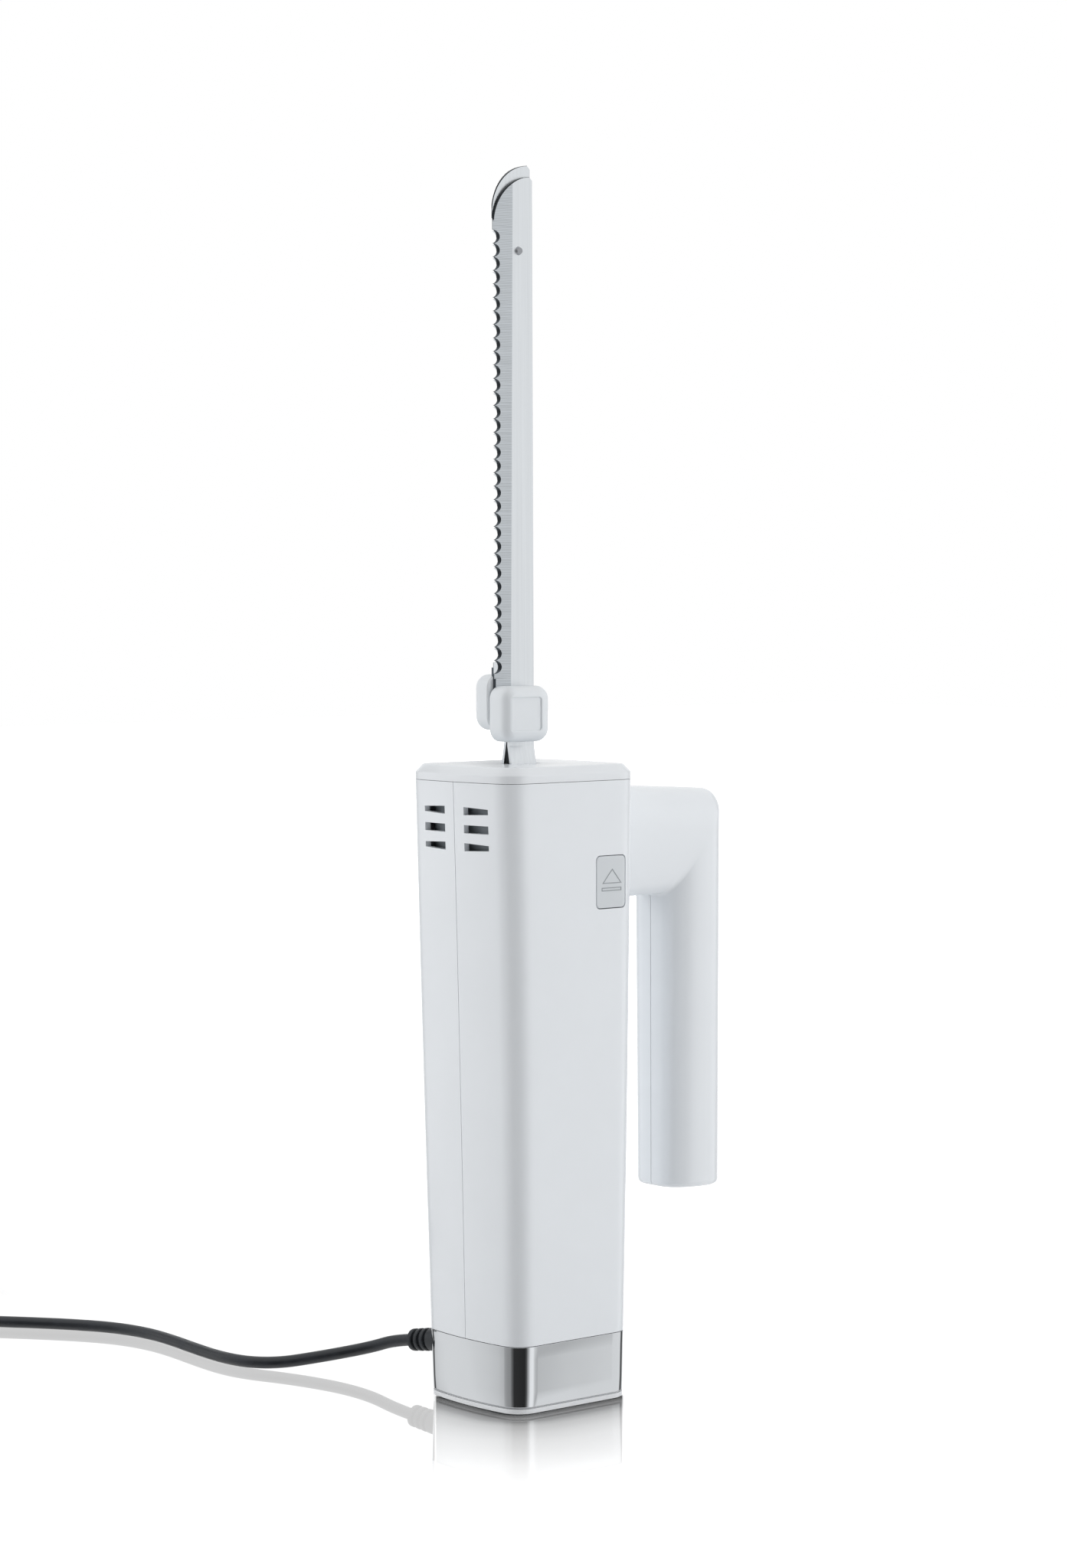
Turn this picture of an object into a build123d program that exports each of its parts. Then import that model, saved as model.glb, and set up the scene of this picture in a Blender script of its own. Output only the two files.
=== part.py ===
from build123d import *
import math
import os

os.makedirs("parts", exist_ok=True)

# An electric carving knife that stands upright on its base, blades up.
# Z is up along the blades, the cutting edges face -X, the grip is on the +X side and the
# two halves of the housing meet on the plane Y = 0. The origin is on the underside of the base.

# Driving dimensions of the body, in millimetres
floor_width = 58.8
seam_width = 66.4
floor_depth = 54.2
seam_depth = 60.8
width_sag = -0.7
depth_sag = 1.8
floor_corner = 8.7
seam_corner = 9.6
side_crown = 2.8
top_shift = -1.3
seam_z = 231.0
plate_top_z = 2.3
band_top_z = 24.9
wall = 2.3
overrun = 12.0
fit_gap = 0.2

# Driving dimensions of the cap
cap_edge_height = 3.0
cap_bevel_height = 2.9
cap_bevel_inset = 2.6
cap_rim_depth = 3.0
cap_rim_thickness = 1.6
cap_slot_play = 1.0
cap_slot_half = 4.2
base_rim_top_z = 8.0
cap_top_z = seam_z + cap_edge_height + cap_bevel_height

# Air vents in the -X side, two groups of three slots beside the seam
vent_inner = 5.5
vent_length = 13.0
vent_tall = 3.0
vent_short = 1.95
vent_middle_z = 214.0
vent_pitch = 6.6

# Blades
blade_thickness = 1.2
blade_gap = 0.1
spine_x = 3.0
edge_x = -15.1
tooth_pitch = 4.93
tooth_count = 33
gullet_radius = 2.5
gullet_depth = 2.1
gullet_slant = 60.0
first_tooth_z = 433.0
tip_top_z = 453.2
tip_start_drop = 15.4
tip_middle_drop = 3.4
tip_middle_x = -7.74
tip_corner = 1.4
tip_start_z = tip_top_z - tip_start_drop
tip_middle_z = tip_top_z - tip_middle_drop
edge_thickness = 0.25
bevel_top_x = -6.3
bevel_heel_x = -7.9
heel_z = 268.4
heel_run_out = 10.0
blade_root_z = 243.5
tang_left_x = -8.8
tang_right_x = 3.1
tang_spread = 2.5
joggle_height = 13.0
tang_bottom_z = 203.0
blade_low_z = 247.0
rivet_x = -3.6
rivet_z = 425.8
rivet_radius = 1.2
rivet_front_radius = 1.6
rivet_front_height = 0.9
rivet_head_radius = 2.2
rivet_head_height = 0.8

# Finger guards, one pad on the outer face of each blade
guard_width = 22.0
guard_height = 20.6
guard_left_x = -17.8
guard_bottom_z = 245.2
guard_outer_y = 10.4
guard_corner = 5.0
guard_edge = 4.5
guard_panel_width = 14.1
guard_panel_height = 12.4
guard_panel_depth = 0.5
guard_panel_corner = 1.2
guard_panel_x = -7.7

# Drive: a worm on the motor shaft turns a wheel whose two eccentrics move the carriers
crank_radius = 4.2
rest_phase = 45.0
wheel_x = -2.8
wheel_z = 176.0
wheel_tip_radius = 9.2
wheel_root_radius = 7.6
wheel_teeth = 24
wheel_thickness = 5.0
tooth_width = 1.25
tooth_angle = 75.0
eccentric_radius = 6.5
eccentric_thickness = 3.2
axle_radius = 1.5
running_gap = 0.05
shaft_offset = 12.0
shaft_x = wheel_x + shaft_offset
shaft_radius = 2.0
shaft_bottom_z = 68.0
shaft_top_z = 193.0
worm_radius = 2.6
worm_half_length = 10.0
yoke_gap = 0.4
yoke_thickness = 2.8
yoke_play = 1.0
yoke_rim = 2.0
yoke_side_play = 0.5
carrier_width = 14.9
carrier_bottom_z = 200.0
carrier_top_z = 223.5
carrier_inner_y = 1.2
carrier_outer_y = 5.2
stem_width = 8.0
stem_outer_y = 4.2
stem_foot_z = 190.5
socket_gap = 0.15
socket_floor_z = 202.9
shelf_gap = 1.1

# Gear frame
cheek_inner_y = 7.4
cheek_thickness = 2.0
frame_left_x = -18.6
frame_right_x = 16.5
frame_bottom_z = 158.0
frame_plate = 3.0
shelf_z = 190.0
post_thickness = 2.1
post_top_z = 226.0
post_gap = 0.25
frame_fillet = 1.0

# Motor
stack_bottom_z = 96.0
stack_height = 30.0
stator_width = 34.0
stator_depth = 43.0
stator_corner = 5.0
air_gap = 0.4
armature_radius = 12.2
slot_count = 12
slot_width = 1.8
slot_depth = 4.5
coil_window = 20.0
coil_side = 4.0
coil_inner_y = 13.4
coil_depth = 3.8
winding_height = 6.0
winding_radius = 10.5
commutator_z = 78.0
commutator_height = 9.0
commutator_radius = 6.0
fan_z = 138.0
fan_radius = 17.0
fan_hub_radius = 5.0
fan_plate = 1.2
fan_blade_height = 7.0
fan_blade_thickness = 1.0
fan_blades = 9
bearing_radius = 5.0
bearing_height = 5.0
bracket_z = 71.0
bracket_thickness = 3.0
bracket_width = 34.0
bracket_arm = 20.0
pillar_width = 5.0
pillar_depth = 12.0
coil_reach = 5.0
brush_width = 5.0
brush_height = 4.0
brush_length = 8.0
holder_wall = 1.0
holder_length = 14.0
holder_start_y = 7.6
spring_radius = 1.7
capacitor_depth = 12.0
capacitor_height = 13.0

# Release buttons, one on each broad side
button_left_x = 8.45
button_width = 14.3
button_bottom_z = 183.9
button_height = 19.3
button_corner = 2.0
button_gap = 0.25
button_thickness = 3.0
button_travel = 2.0
button_flange = 1.4
button_flange_thickness = 1.3
sign_width = 8.8
sign_height = 5.0
sign_line = 0.9
sign_raise = 0.25
sign_low_z = 190.3
plunger_width = 4.0
plunger_low_z = 193.6
plunger_height = 4.0
plunger_tip_gap = 0.1
plunger_arm_y = 11.0
plunger_arm = 3.0
button_spring_x = 13.6
button_spring_z = 190.0
button_spring_radius = 2.6
button_spring_wire = 0.6
button_spring_seat_y = 17.0
latch_width = 7.4
latch_window_width = 4.6
latch_tail_bar = 2.0
latch_window_gap = 0.8
latch_thickness = 1.2
latch_pivot_z = 207.0
latch_front_tail_z = 194.5
latch_rear_tail_z = 196.6
latch_nub_z = 214.0
latch_nub_width = 3.0
latch_nub_height = 2.0
latch_inner_y = 7.0
latch_pin_radius = 0.8
latch_barrel_radius = 1.6
lug_gap = 0.2
lug_thickness = 1.5
nub_clearance = 1.1

# Grip
grip_center_x = 75.6
grip_half_width = 13.6
grip_top_half_depth = 16.2
grip_end_half_depth = 14.7
grip_end_z = 72.0
grip_end_round = 2.0
arm_bottom_z = 185.0
arm_top_z = 227.8
elbow_top_z = 224.6
elbow_radius = 9.5
corner_share = 0.78
arm_root_x = 20.0
grip_wall = 2.4

# Power switch on the outer side of the grip
power_z = 158.0
power_height = 26.0
power_width = 11.0
power_proud = 2.3
power_travel = 2.0
power_corner = 3.0
power_gap = 0.3
power_flange = 1.6
power_stem = 3.0
power_stem_radius = 2.0
switch_width = 12.0
switch_depth = 14.0
switch_height = 24.0
lock_z = 192.0
lock_height = 9.0
lock_width = 8.0
lock_proud = 1.6
lock_travel = 4.0
lock_stem = 4.0
lock_foot = 1.4
lock_seat_gap = 0.1

# Fasteners
boss_radius = 3.6
screw_radius = 1.5
screw_head_radius = 2.9
screw_head_height = 1.8
screw_pilot_gap = 0.1
grip_screw_z = 92.0
housing_screw_places = [(-20.0, 64.0), (-19.5, 152.0), (-19.5, 199.0), (16.5, 223.5)]
base_post_x = 19.9
base_post_y = 20.6
base_post_radius = 5.4
base_post_top_z = 44.0
base_screw_seat_z = 12.0
base_screw_tip_z = 40.0
pad_radius = 4.0
frame_pad_places = [(-14.0, 164.0), (12.0, 164.0), (-14.0, 186.0)]
stator_pad_z = 111.0
stator_pad_height = 12.0
stator_pad_width = 14.0

# Cord, its strain relief and plug
cord_diameter = 4.6
relief_x = -10.0
relief_z = 17.9
relief_turn = 12.0
relief_droop = 8.0
relief_length = 23.5
relief_root_radius = 4.7
relief_end_radius = 4.2
relief_flange_radius = 6.0
relief_flange = 2.0
relief_neck_radius = 3.6
relief_ring_count = 3
relief_ring_width = 1.3
relief_ring_depth = 0.9
relief_ring_pitch = 2.9
relief_first_ring = 14.5
cord_tail_length = 12.0
clamp_width = 11.0
clamp_thickness = 3.0
coil_gap = 0.45
coil_half_turns = 6
coil_middle_diameters = 12.0
coil_lead = 28.0
coil_sample = 1.0
cord_lead = 9.5
arc_share = 0.45
plug_width = 35.0
plug_thickness = 14.7
plug_length = 34.0
plug_corner = 6.0
plug_nose_length = 15.0
plug_nose_radius = 5.2
plug_pin_radius = 2.0
plug_pin_length = 19.0
plug_pin_spacing = 18.6
cord_route = [
    (-20.5, 68.5, 9.9),
    (-27.0, 77.5, 7.2),
    (-36.0, 86.0, 4.9),
    (-46.0, 94.5, 2.9),
    (-53.0, 105.5, 2.3),
    (-55.5, 120.0, 2.3),
    (-54.0, 140.0, 2.3),
    (-51.5, 160.0, 2.3),
    (-51.0, 178.0, 2.3),
    (-55.0, 196.0, 2.3),
    (-64.0, 212.0, 2.3),
    (-76.0, 228.0, 2.3),
    (-88.0, 242.0, 2.3),
    (-91.1, 253.6, 2.3),
    (-89.4, 265.5, 2.3),
    (-83.1, 275.7, 2.3),
]


def half_width(z):
    share = z / seam_z
    straight = floor_width + (seam_width - floor_width) * share
    return (straight + 4 * width_sag * share * (1 - share)) / 2


def half_depth(z):
    share = z / seam_z
    straight = floor_depth + (seam_depth - floor_depth) * share
    return (straight + 4 * depth_sag * share * (1 - share)) / 2


def middle_x(z):
    return top_shift * z / seam_z


def body_outline(z, inset=0):
    """The body's plan at height z: bowed X sides, flat Y sides and round corners."""
    share = z / seam_z
    x_half = half_width(z) - inset
    y_half = half_depth(z) - inset
    corner_x = x_half - side_crown
    corner = floor_corner + (seam_corner - floor_corner) * share - inset
    middle = middle_x(z)
    with BuildSketch(Plane.XY.offset(z)) as outline:
        with BuildLine():
            Line((middle - corner_x, y_half), (middle + corner_x, y_half))
            ThreePointArc(
                (middle + corner_x, y_half), (middle + x_half, 0), (middle + corner_x, -y_half)
            )
            Line((middle + corner_x, -y_half), (middle - corner_x, -y_half))
            ThreePointArc(
                (middle - corner_x, -y_half), (middle - x_half, 0), (middle - corner_x, y_half)
            )
        make_face()
        fillet(outline.vertices(), corner)
    return outline.sketch


def body_levels(low, high, inset=0):
    """Plans at the bottom, middle and top of a stretch of the body."""
    return [body_outline(z, inset) for z in (low, (low + high) / 2, high)]


def soft_rectangle(plane, x_half, y_half):
    """A rectangle whose corners are quarter ellipses, a set share of each half side."""
    x_corner = x_half * corner_share
    y_corner = y_half * corner_share
    x_flat = x_half - x_corner
    y_flat = y_half - y_corner
    with BuildSketch(plane) as section:
        with BuildLine():
            Line((-x_flat, -y_half), (x_flat, -y_half))
            EllipticalCenterArc((x_flat, -y_flat), x_corner, y_corner, 270, arc_size=90)
            Line((x_half, -y_flat), (x_half, y_flat))
            EllipticalCenterArc((x_flat, y_flat), x_corner, y_corner, 0, arc_size=90)
            Line((x_flat, y_half), (-x_flat, y_half))
            EllipticalCenterArc((-x_flat, y_flat), x_corner, y_corner, 90, arc_size=90)
            Line((-x_half, y_flat), (-x_half, -y_flat))
            EllipticalCenterArc((-x_flat, -y_flat), x_corner, y_corner, 180, arc_size=90)
        make_face()
    return section.sketch


def save(piece, name):
    piece.part.label = name
    export_step(piece.part, f"parts/{name}.step")


# Grip and arm, outside form and hollow. The two meet in one shared section, on the mitre from
# the corner above the finger gap to the outer top corner.
grip_inner_x = grip_center_x - grip_half_width
grip_outer_x = grip_center_x + grip_half_width
arm_slope = (arm_top_z - elbow_top_z) / (grip_outer_x - half_width(arm_top_z))


def arm_top_at(x):
    return elbow_top_z + arm_slope * (grip_outer_x - x)


def handle_form(shell):
    """The arm and the grip, drawn in by the shell thickness all round."""
    low_corner = (grip_inner_x + shell, arm_bottom_z + shell)
    high_corner = (grip_outer_x - shell, elbow_top_z - shell)
    run = high_corner[0] - low_corner[0]
    rise = high_corner[1] - low_corner[1]
    mitre = Plane(
        origin=(low_corner[0] + run / 2, 0, low_corner[1] + rise / 2),
        x_dir=(0, 1, 0),
        z_dir=(rise, 0, -run),
    )
    mitre_section = soft_rectangle(mitre, grip_top_half_depth - shell, math.hypot(run, rise) / 2)
    root_top = arm_top_at(arm_root_x) - shell
    root = Plane(
        origin=(arm_root_x, 0, (root_top + low_corner[1]) / 2), x_dir=(0, 1, 0), z_dir=(1, 0, 0)
    )
    root_half = (root_top - low_corner[1]) / 2
    end = Plane(
        origin=(grip_center_x, 0, grip_end_z + shell), x_dir=(0, 1, 0), z_dir=(0, 0, -1)
    )
    with BuildPart() as handle:
        loft([soft_rectangle(root, grip_top_half_depth - shell, root_half), mitre_section], ruled=True)
        loft(
            [
                mitre_section,
                soft_rectangle(end, grip_end_half_depth - shell, grip_half_width - shell),
            ],
            ruled=True,
        )
        if shell == 0:
            fillet(handle.faces().sort_by(Axis.Z)[0].edges(), grip_end_round)
        # round the outer corner of the elbow
        slope = math.atan(arm_slope)
        reach = (elbow_radius - shell) / math.tan((math.pi / 2 + slope) / 2)
        top_start = (
            high_corner[0] - reach * math.cos(slope),
            high_corner[1] + reach * math.sin(slope),
        )
        side_end = (high_corner[0], high_corner[1] - reach)
        with BuildSketch(Plane.XZ):
            with BuildLine():
                TangentArc(top_start, side_end, tangent=(math.cos(slope), -math.sin(slope)))
                Polyline(
                    side_end,
                    (high_corner[0] + overrun, side_end[1]),
                    (high_corner[0] + overrun, top_start[1] + overrun),
                    (top_start[0], top_start[1] + overrun),
                    top_start,
                )
            make_face()
        extrude(amount=seam_depth, both=True, mode=Mode.SUBTRACT)
    return handle.part


outer_handle = handle_form(0)
inner_handle = handle_form(grip_wall)

# Housing: one tapering tube with the hollow grip moulded on, parted on Y = 0
with BuildPart() as body_form:
    loft(body_levels(band_top_z, seam_z))
with BuildPart() as cavity_form:
    loft(body_levels(band_top_z, seam_z, wall))

power_window_height = power_height + 2 * power_gap
power_window_width = power_width + 2 * power_gap
lock_slot_height = lock_stem + lock_travel + 2 * power_gap
lock_slot_width = lock_stem + 2 * power_gap


def side_window(side):
    """The plane of a broad side's button, facing outwards, at the button's middle."""
    middle = (button_left_x + button_width / 2, 0, button_bottom_z + button_height / 2)
    return Plane(origin=middle, x_dir=(-side, 0, 0), z_dir=(0, side, 0))


with BuildPart() as outside_form:
    add(body_form.part)
    add(outer_handle)

# Posts, bosses and pads inside the housing, trimmed by its outer form
with BuildPart() as furniture:
    # corner posts for the base screws
    with BuildSketch(Plane.XY.offset(band_top_z)):
        with GridLocations(2 * base_post_x, 2 * base_post_y, 2, 2):
            Circle(base_post_radius)
    extrude(amount=base_post_top_z - band_top_z)
    # bosses of the screws that pull the halves together
    for boss_x, boss_z in housing_screw_places:
        with BuildSketch(Plane.XZ):
            with Locations((boss_x, boss_z)):
                Circle(boss_radius)
        extrude(amount=half_depth(boss_z) - wall / 2, both=True)
    grip_plane_depth = grip_end_half_depth - wall / 2
    with BuildSketch(Plane.XZ):
        with Locations((grip_center_x, grip_screw_z)):
            Circle(boss_radius)
    extrude(amount=grip_plane_depth, both=True)
    # pads that hold the switch in the grip
    switch_pad_x = grip_outer_x - grip_wall - power_flange - power_stem - power_travel
    for side in (-1, 1):
        plane = Plane(
            origin=(switch_pad_x - switch_depth / 2, side * switch_width / 2, power_z + power_height / 2),
            x_dir=(-side, 0, 0),
            z_dir=(0, side, 0),
        )
        with BuildSketch(plane):
            Circle(pad_radius)
        extrude(amount=grip_top_half_depth - wall / 2 - switch_width / 2)
    # pads that carry the gear frame and the stator
    for pad_x, pad_z in frame_pad_places:
        for side in (-1, 1):
            seat = side * (cheek_inner_y + cheek_thickness)
            plane = Plane(origin=(pad_x, seat, pad_z), x_dir=(-side, 0, 0), z_dir=(0, side, 0))
            with BuildSketch(plane):
                Circle(pad_radius)
            extrude(amount=half_depth(pad_z) - wall / 2 - abs(seat))
    for side in (-1, 1):
        seat = side * stator_depth / 2
        plane = Plane(origin=(shaft_x, seat, stator_pad_z), x_dir=(-side, 0, 0), z_dir=(0, side, 0))
        with BuildSketch(plane):
            RectangleRounded(stator_pad_width, stator_pad_height, frame_fillet)
        extrude(amount=half_depth(stator_pad_z) - wall / 2 - abs(seat))
    add(outside_form.part, mode=Mode.INTERSECT)

with BuildPart() as housing:
    add(body_form.part)
    add(outer_handle)
    add(cavity_form.part, mode=Mode.SUBTRACT)
    add(inner_handle, mode=Mode.SUBTRACT)
    add(furniture.part)
    # the broad sides' button windows
    for side in (-1, 1):
        with BuildSketch(side_window(side).offset(seam_depth / 2 - wall - overrun / 2)):
            RectangleRounded(
                button_width + 2 * button_gap, button_height + 2 * button_gap, button_corner
            )
        extrude(amount=overrun, mode=Mode.SUBTRACT)
    # the vents, tallest beside the seam in the outer rows
    for row in (-1, 0, 1):
        for side in (-1, 1):
            near = vent_tall / 2
            far = (vent_tall if row == 0 else vent_short) / 2
            middle = vent_middle_z + row * vent_pitch
            with BuildSketch(Plane.YZ.offset(-half_width(vent_middle_z) - overrun / 2)):
                with BuildLine():
                    Polyline(
                        (side * vent_inner, middle - near),
                        (side * vent_inner, middle + near),
                        (side * (vent_inner + vent_length), middle + far),
                        (side * (vent_inner + vent_length), middle - far),
                        close=True,
                    )
                make_face()
            extrude(amount=overrun, mode=Mode.SUBTRACT)
    # windows for the power button and its lock, in the grip's outer side
    outer_face = Plane(
        origin=(grip_outer_x - grip_wall - overrun / 4, 0, power_z + power_height / 2),
        x_dir=(0, 1, 0),
        z_dir=(1, 0, 0),
    )
    with BuildSketch(outer_face):
        RectangleRounded(power_window_width, power_window_height, power_corner)
    extrude(amount=overrun, mode=Mode.SUBTRACT)
    lock_middle_z = lock_z + lock_height / 2 + lock_travel / 2
    with BuildSketch(outer_face):
        with Locations((0, lock_middle_z - power_z - power_height / 2)):
            Rectangle(lock_slot_width, lock_slot_height)
    extrude(amount=overrun, mode=Mode.SUBTRACT)
    # screw holes: through the +Y side, blind in the -Y side
    for boss_x, boss_z in housing_screw_places:
        depth = half_depth(boss_z)
        with BuildSketch(Plane.XZ.offset(-depth - overrun)):
            with Locations((boss_x, boss_z)):
                Circle(screw_radius + screw_pilot_gap)
        extrude(amount=2 * depth + overrun - 2 * wall, mode=Mode.SUBTRACT)
        with BuildSketch(Plane.XZ.offset(-depth - overrun)):
            with Locations((boss_x, boss_z)):
                Circle(screw_head_radius + fit_gap)
        extrude(amount=overrun + 2 * wall, mode=Mode.SUBTRACT)
    with BuildSketch(Plane.XZ.offset(-seam_depth)):
        with Locations((grip_center_x, grip_screw_z)):
            Circle(screw_radius + screw_pilot_gap)
    extrude(amount=seam_depth + grip_end_half_depth - 2 * wall, mode=Mode.SUBTRACT)
    with BuildSketch(Plane.XZ.offset(-seam_depth)):
        with Locations((grip_center_x, grip_screw_z)):
            Circle(screw_head_radius + fit_gap)
    extrude(amount=seam_depth - grip_end_half_depth + 2 * wall, mode=Mode.SUBTRACT)
    with BuildSketch(Plane.XY.offset(band_top_z)):
        with GridLocations(2 * base_post_x, 2 * base_post_y, 2, 2):
            Circle(screw_radius + screw_pilot_gap)
    extrude(amount=base_screw_tip_z + fit_gap - band_top_z, mode=Mode.SUBTRACT)

with BuildPart() as left_shell:
    add(housing.part)
    split(bisect_by=Plane.XZ, keep=Keep.TOP)
save(left_shell, "left_shell")
with BuildPart() as right_shell:
    add(housing.part)
    split(bisect_by=Plane.XZ, keep=Keep.BOTTOM)
save(right_shell, "right_shell")


def block(low, high, mode=Mode.ADD):
    """Add or cut a box between two opposite corners."""
    size = [abs(high[i] - low[i]) for i in range(3)]
    with Locations(tuple((low[i] + high[i]) / 2 for i in range(3))):
        Box(*size, mode=mode)


def rod(start, direction, radius, length, mode=Mode.ADD):
    """Add or cut a round bar that begins at a point."""
    with Locations(Plane(origin=start, z_dir=direction)):
        Cylinder(radius, length, align=(Align.CENTER, Align.CENTER, Align.MIN), mode=mode)


# Cap: a rim that fits inside the housing, a bevelled edge and a slot for the two tangs
rim_inset = wall + fit_gap
rim_inner_inset = rim_inset + cap_rim_thickness
rim_low_z = seam_z - cap_rim_depth
bevel_low_z = seam_z + cap_edge_height
with BuildPart() as top_cap:
    loft([body_outline(seam_z), body_outline(bevel_low_z)])
    loft([body_outline(bevel_low_z), body_outline(cap_top_z, cap_bevel_inset)])
    loft([body_outline(rim_low_z, rim_inset), body_outline(seam_z, rim_inset)])
    loft(
        [body_outline(rim_low_z, rim_inner_inset), body_outline(bevel_low_z, rim_inner_inset)],
        mode=Mode.SUBTRACT,
    )
    block(
        (tang_left_x - cap_slot_play, -cap_slot_half, rim_low_z),
        (tang_right_x + cap_slot_play, cap_slot_half, cap_top_z),
        mode=Mode.SUBTRACT,
    )
save(top_cap, "top_cap")

# Bright band between the housing and the base plate, with the hole for the cord
relief_root = (relief_x, half_depth(relief_z), relief_z)
with BuildPart() as chrome_band:
    loft([body_outline(plate_top_z), body_outline(band_top_z)])
    loft([body_outline(plate_top_z, wall), body_outline(band_top_z, wall)], mode=Mode.SUBTRACT)
    rod((relief_x, 0, relief_z), (0, 1, 0), relief_neck_radius, seam_depth, mode=Mode.SUBTRACT)
save(chrome_band, "chrome_band")

# Base plate: a flat foot, a low rim inside the band and four tubes for the screws
with BuildPart() as base_plate:
    loft([body_outline(0), body_outline(plate_top_z)])
    loft([body_outline(plate_top_z, rim_inset), body_outline(base_rim_top_z, rim_inset)])
    loft(
        [
            body_outline(plate_top_z, rim_inner_inset),
            body_outline(base_rim_top_z, rim_inner_inset),
        ],
        mode=Mode.SUBTRACT,
    )
    with BuildSketch(Plane.XY.offset(plate_top_z)):
        with GridLocations(2 * base_post_x, 2 * base_post_y, 2, 2):
            Circle(boss_radius)
    extrude(amount=band_top_z - plate_top_z)
    with BuildSketch(Plane.XY):
        with GridLocations(2 * base_post_x, 2 * base_post_y, 2, 2):
            Circle(screw_head_radius + screw_pilot_gap)
    extrude(amount=base_screw_seat_z, mode=Mode.SUBTRACT)
    with BuildSketch(Plane.XY.offset(base_screw_seat_z)):
        with GridLocations(2 * base_post_x, 2 * base_post_y, 2, 2):
            Circle(screw_radius + screw_pilot_gap)
    extrude(amount=band_top_z, mode=Mode.SUBTRACT)
save(base_plate, "base_plate")

with BuildPart() as base_screws:
    for sign_x in (-1, 1):
        for sign_y in (-1, 1):
            seat = (sign_x * base_post_x, sign_y * base_post_y, base_screw_seat_z)
            rod(seat, (0, 0, 1), screw_radius, base_screw_tip_z - base_screw_seat_z)
            rod(seat, (0, 0, -1), screw_head_radius, screw_head_height)
save(base_screws, "base_screws")

with BuildPart() as housing_screws:
    for boss_x, boss_z in housing_screw_places:
        seat = (boss_x, half_depth(boss_z) - 2 * wall, boss_z)
        rod(seat, (0, -1, 0), screw_radius, 2 * half_depth(boss_z) - 5 * wall)
        rod(seat, (0, 1, 0), screw_head_radius, screw_head_height)
save(housing_screws, "housing_screws")

# Strain relief: turned about its own drooping axis, trimmed by the band's outer face, with a
# neck through the band and a flange behind it
droop = math.radians(relief_droop)
turn = math.radians(relief_turn)
relief_way = (
    -math.sin(turn) * math.cos(droop),
    math.cos(turn) * math.cos(droop),
    -math.sin(droop),
)
relief_end = tuple(relief_root[i] + relief_length * relief_way[i] for i in range(3))


def relief_radius(reach):
    return relief_root_radius + (relief_end_radius - relief_root_radius) * reach / relief_length


with BuildPart() as strain_relief:
    across = (math.cos(turn), math.sin(turn), 0)
    with BuildSketch(Plane(origin=relief_root, x_dir=relief_way, z_dir=across)):
        corners = [(-wall, 0), (-wall, relief_radius(-wall))]
        for ring in range(relief_ring_count):
            start = relief_first_ring + ring * relief_ring_pitch
            stop = start + relief_ring_width
            corners += [
                (start, relief_radius(start)),
                (start, relief_radius(start) - relief_ring_depth),
                (stop, relief_radius(stop) - relief_ring_depth),
                (stop, relief_radius(stop)),
            ]
        corners += [(relief_length, relief_end_radius), (relief_length, 0)]
        with BuildLine():
            Polyline(*corners, close=True)
        make_face()
    revolve(axis=Axis(relief_root, relief_way))
    loft([body_outline(plate_top_z), body_outline(band_top_z)], mode=Mode.SUBTRACT)
    # neck through the wall and flange behind it
    flange_y = half_depth(relief_z - relief_flange_radius) - wall - fit_gap
    flange_start = (relief_x, flange_y - relief_flange, relief_z)
    rod(flange_start, (0, 1, 0), relief_neck_radius, relief_flange + 2 * wall)
    rod(flange_start, (0, 1, 0), relief_flange_radius, relief_flange)
save(strain_relief, "strain_relief")

# Inner end of the cord, held by a saddle on the base plate
tail_start = (relief_x, flange_y - relief_flange - cord_tail_length, relief_z)
cord_radius = cord_diameter / 2
with BuildPart() as cord_tail:
    rod(tail_start, (0, 1, 0), cord_radius, cord_tail_length)
save(cord_tail, "cord_tail")
with BuildPart() as cord_clamp:
    clamp_y = tail_start[1] + clamp_thickness
    block(
        (relief_x - clamp_width / 2, clamp_y, plate_top_z),
        (relief_x + clamp_width / 2, clamp_y + clamp_thickness, relief_z + clamp_width / 2),
    )
    rod(tail_start, (0, 1, 0), cord_radius, cord_tail_length, mode=Mode.SUBTRACT)
save(cord_clamp, "cord_clamp")

# Cord: straight runs joined by arcs along the floor, away from the knife
lead = tuple(relief_end[i] + cord_lead * relief_way[i] for i in range(3))
cord_points = [relief_end, lead] + cord_route
run_lengths = [math.dist(cord_points[i], cord_points[i + 1]) for i in range(len(cord_points) - 1)]
cord_radii = []
for i in range(1, len(cord_points) - 1):
    before = [cord_points[i][k] - cord_points[i - 1][k] for k in range(3)]
    after = [cord_points[i + 1][k] - cord_points[i][k] for k in range(3)]
    dot = sum(before[k] * after[k] for k in range(3)) / run_lengths[i - 1] / run_lengths[i]
    bend = math.acos(min(1, dot))
    cord_radii.append(arc_share * min(run_lengths[i - 1], run_lengths[i]) / math.tan(bend / 2))
print("cord bend radii", [round(radius, 1) for radius in cord_radii])


def tube(path, diameter):
    """Sweep a round section along a line, square to its start."""
    with BuildPart() as result:
        with BuildSketch(Plane(origin=path @ 0, z_dir=path % 0)) as section:
            Circle(diameter / 2)
        sweep(section.sketch, path=path)
    return result


with BuildLine() as cord_path:
    FilletPolyline(*cord_points, radius=cord_radii)
cord = tube(cord_path.wire(), cord_diameter)
save(cord, "cord")
section_area = math.pi * cord_radius ** 2
print("cord volume share", round(cord.part.volume / (section_area * cord_path.wire().length), 4))

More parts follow.
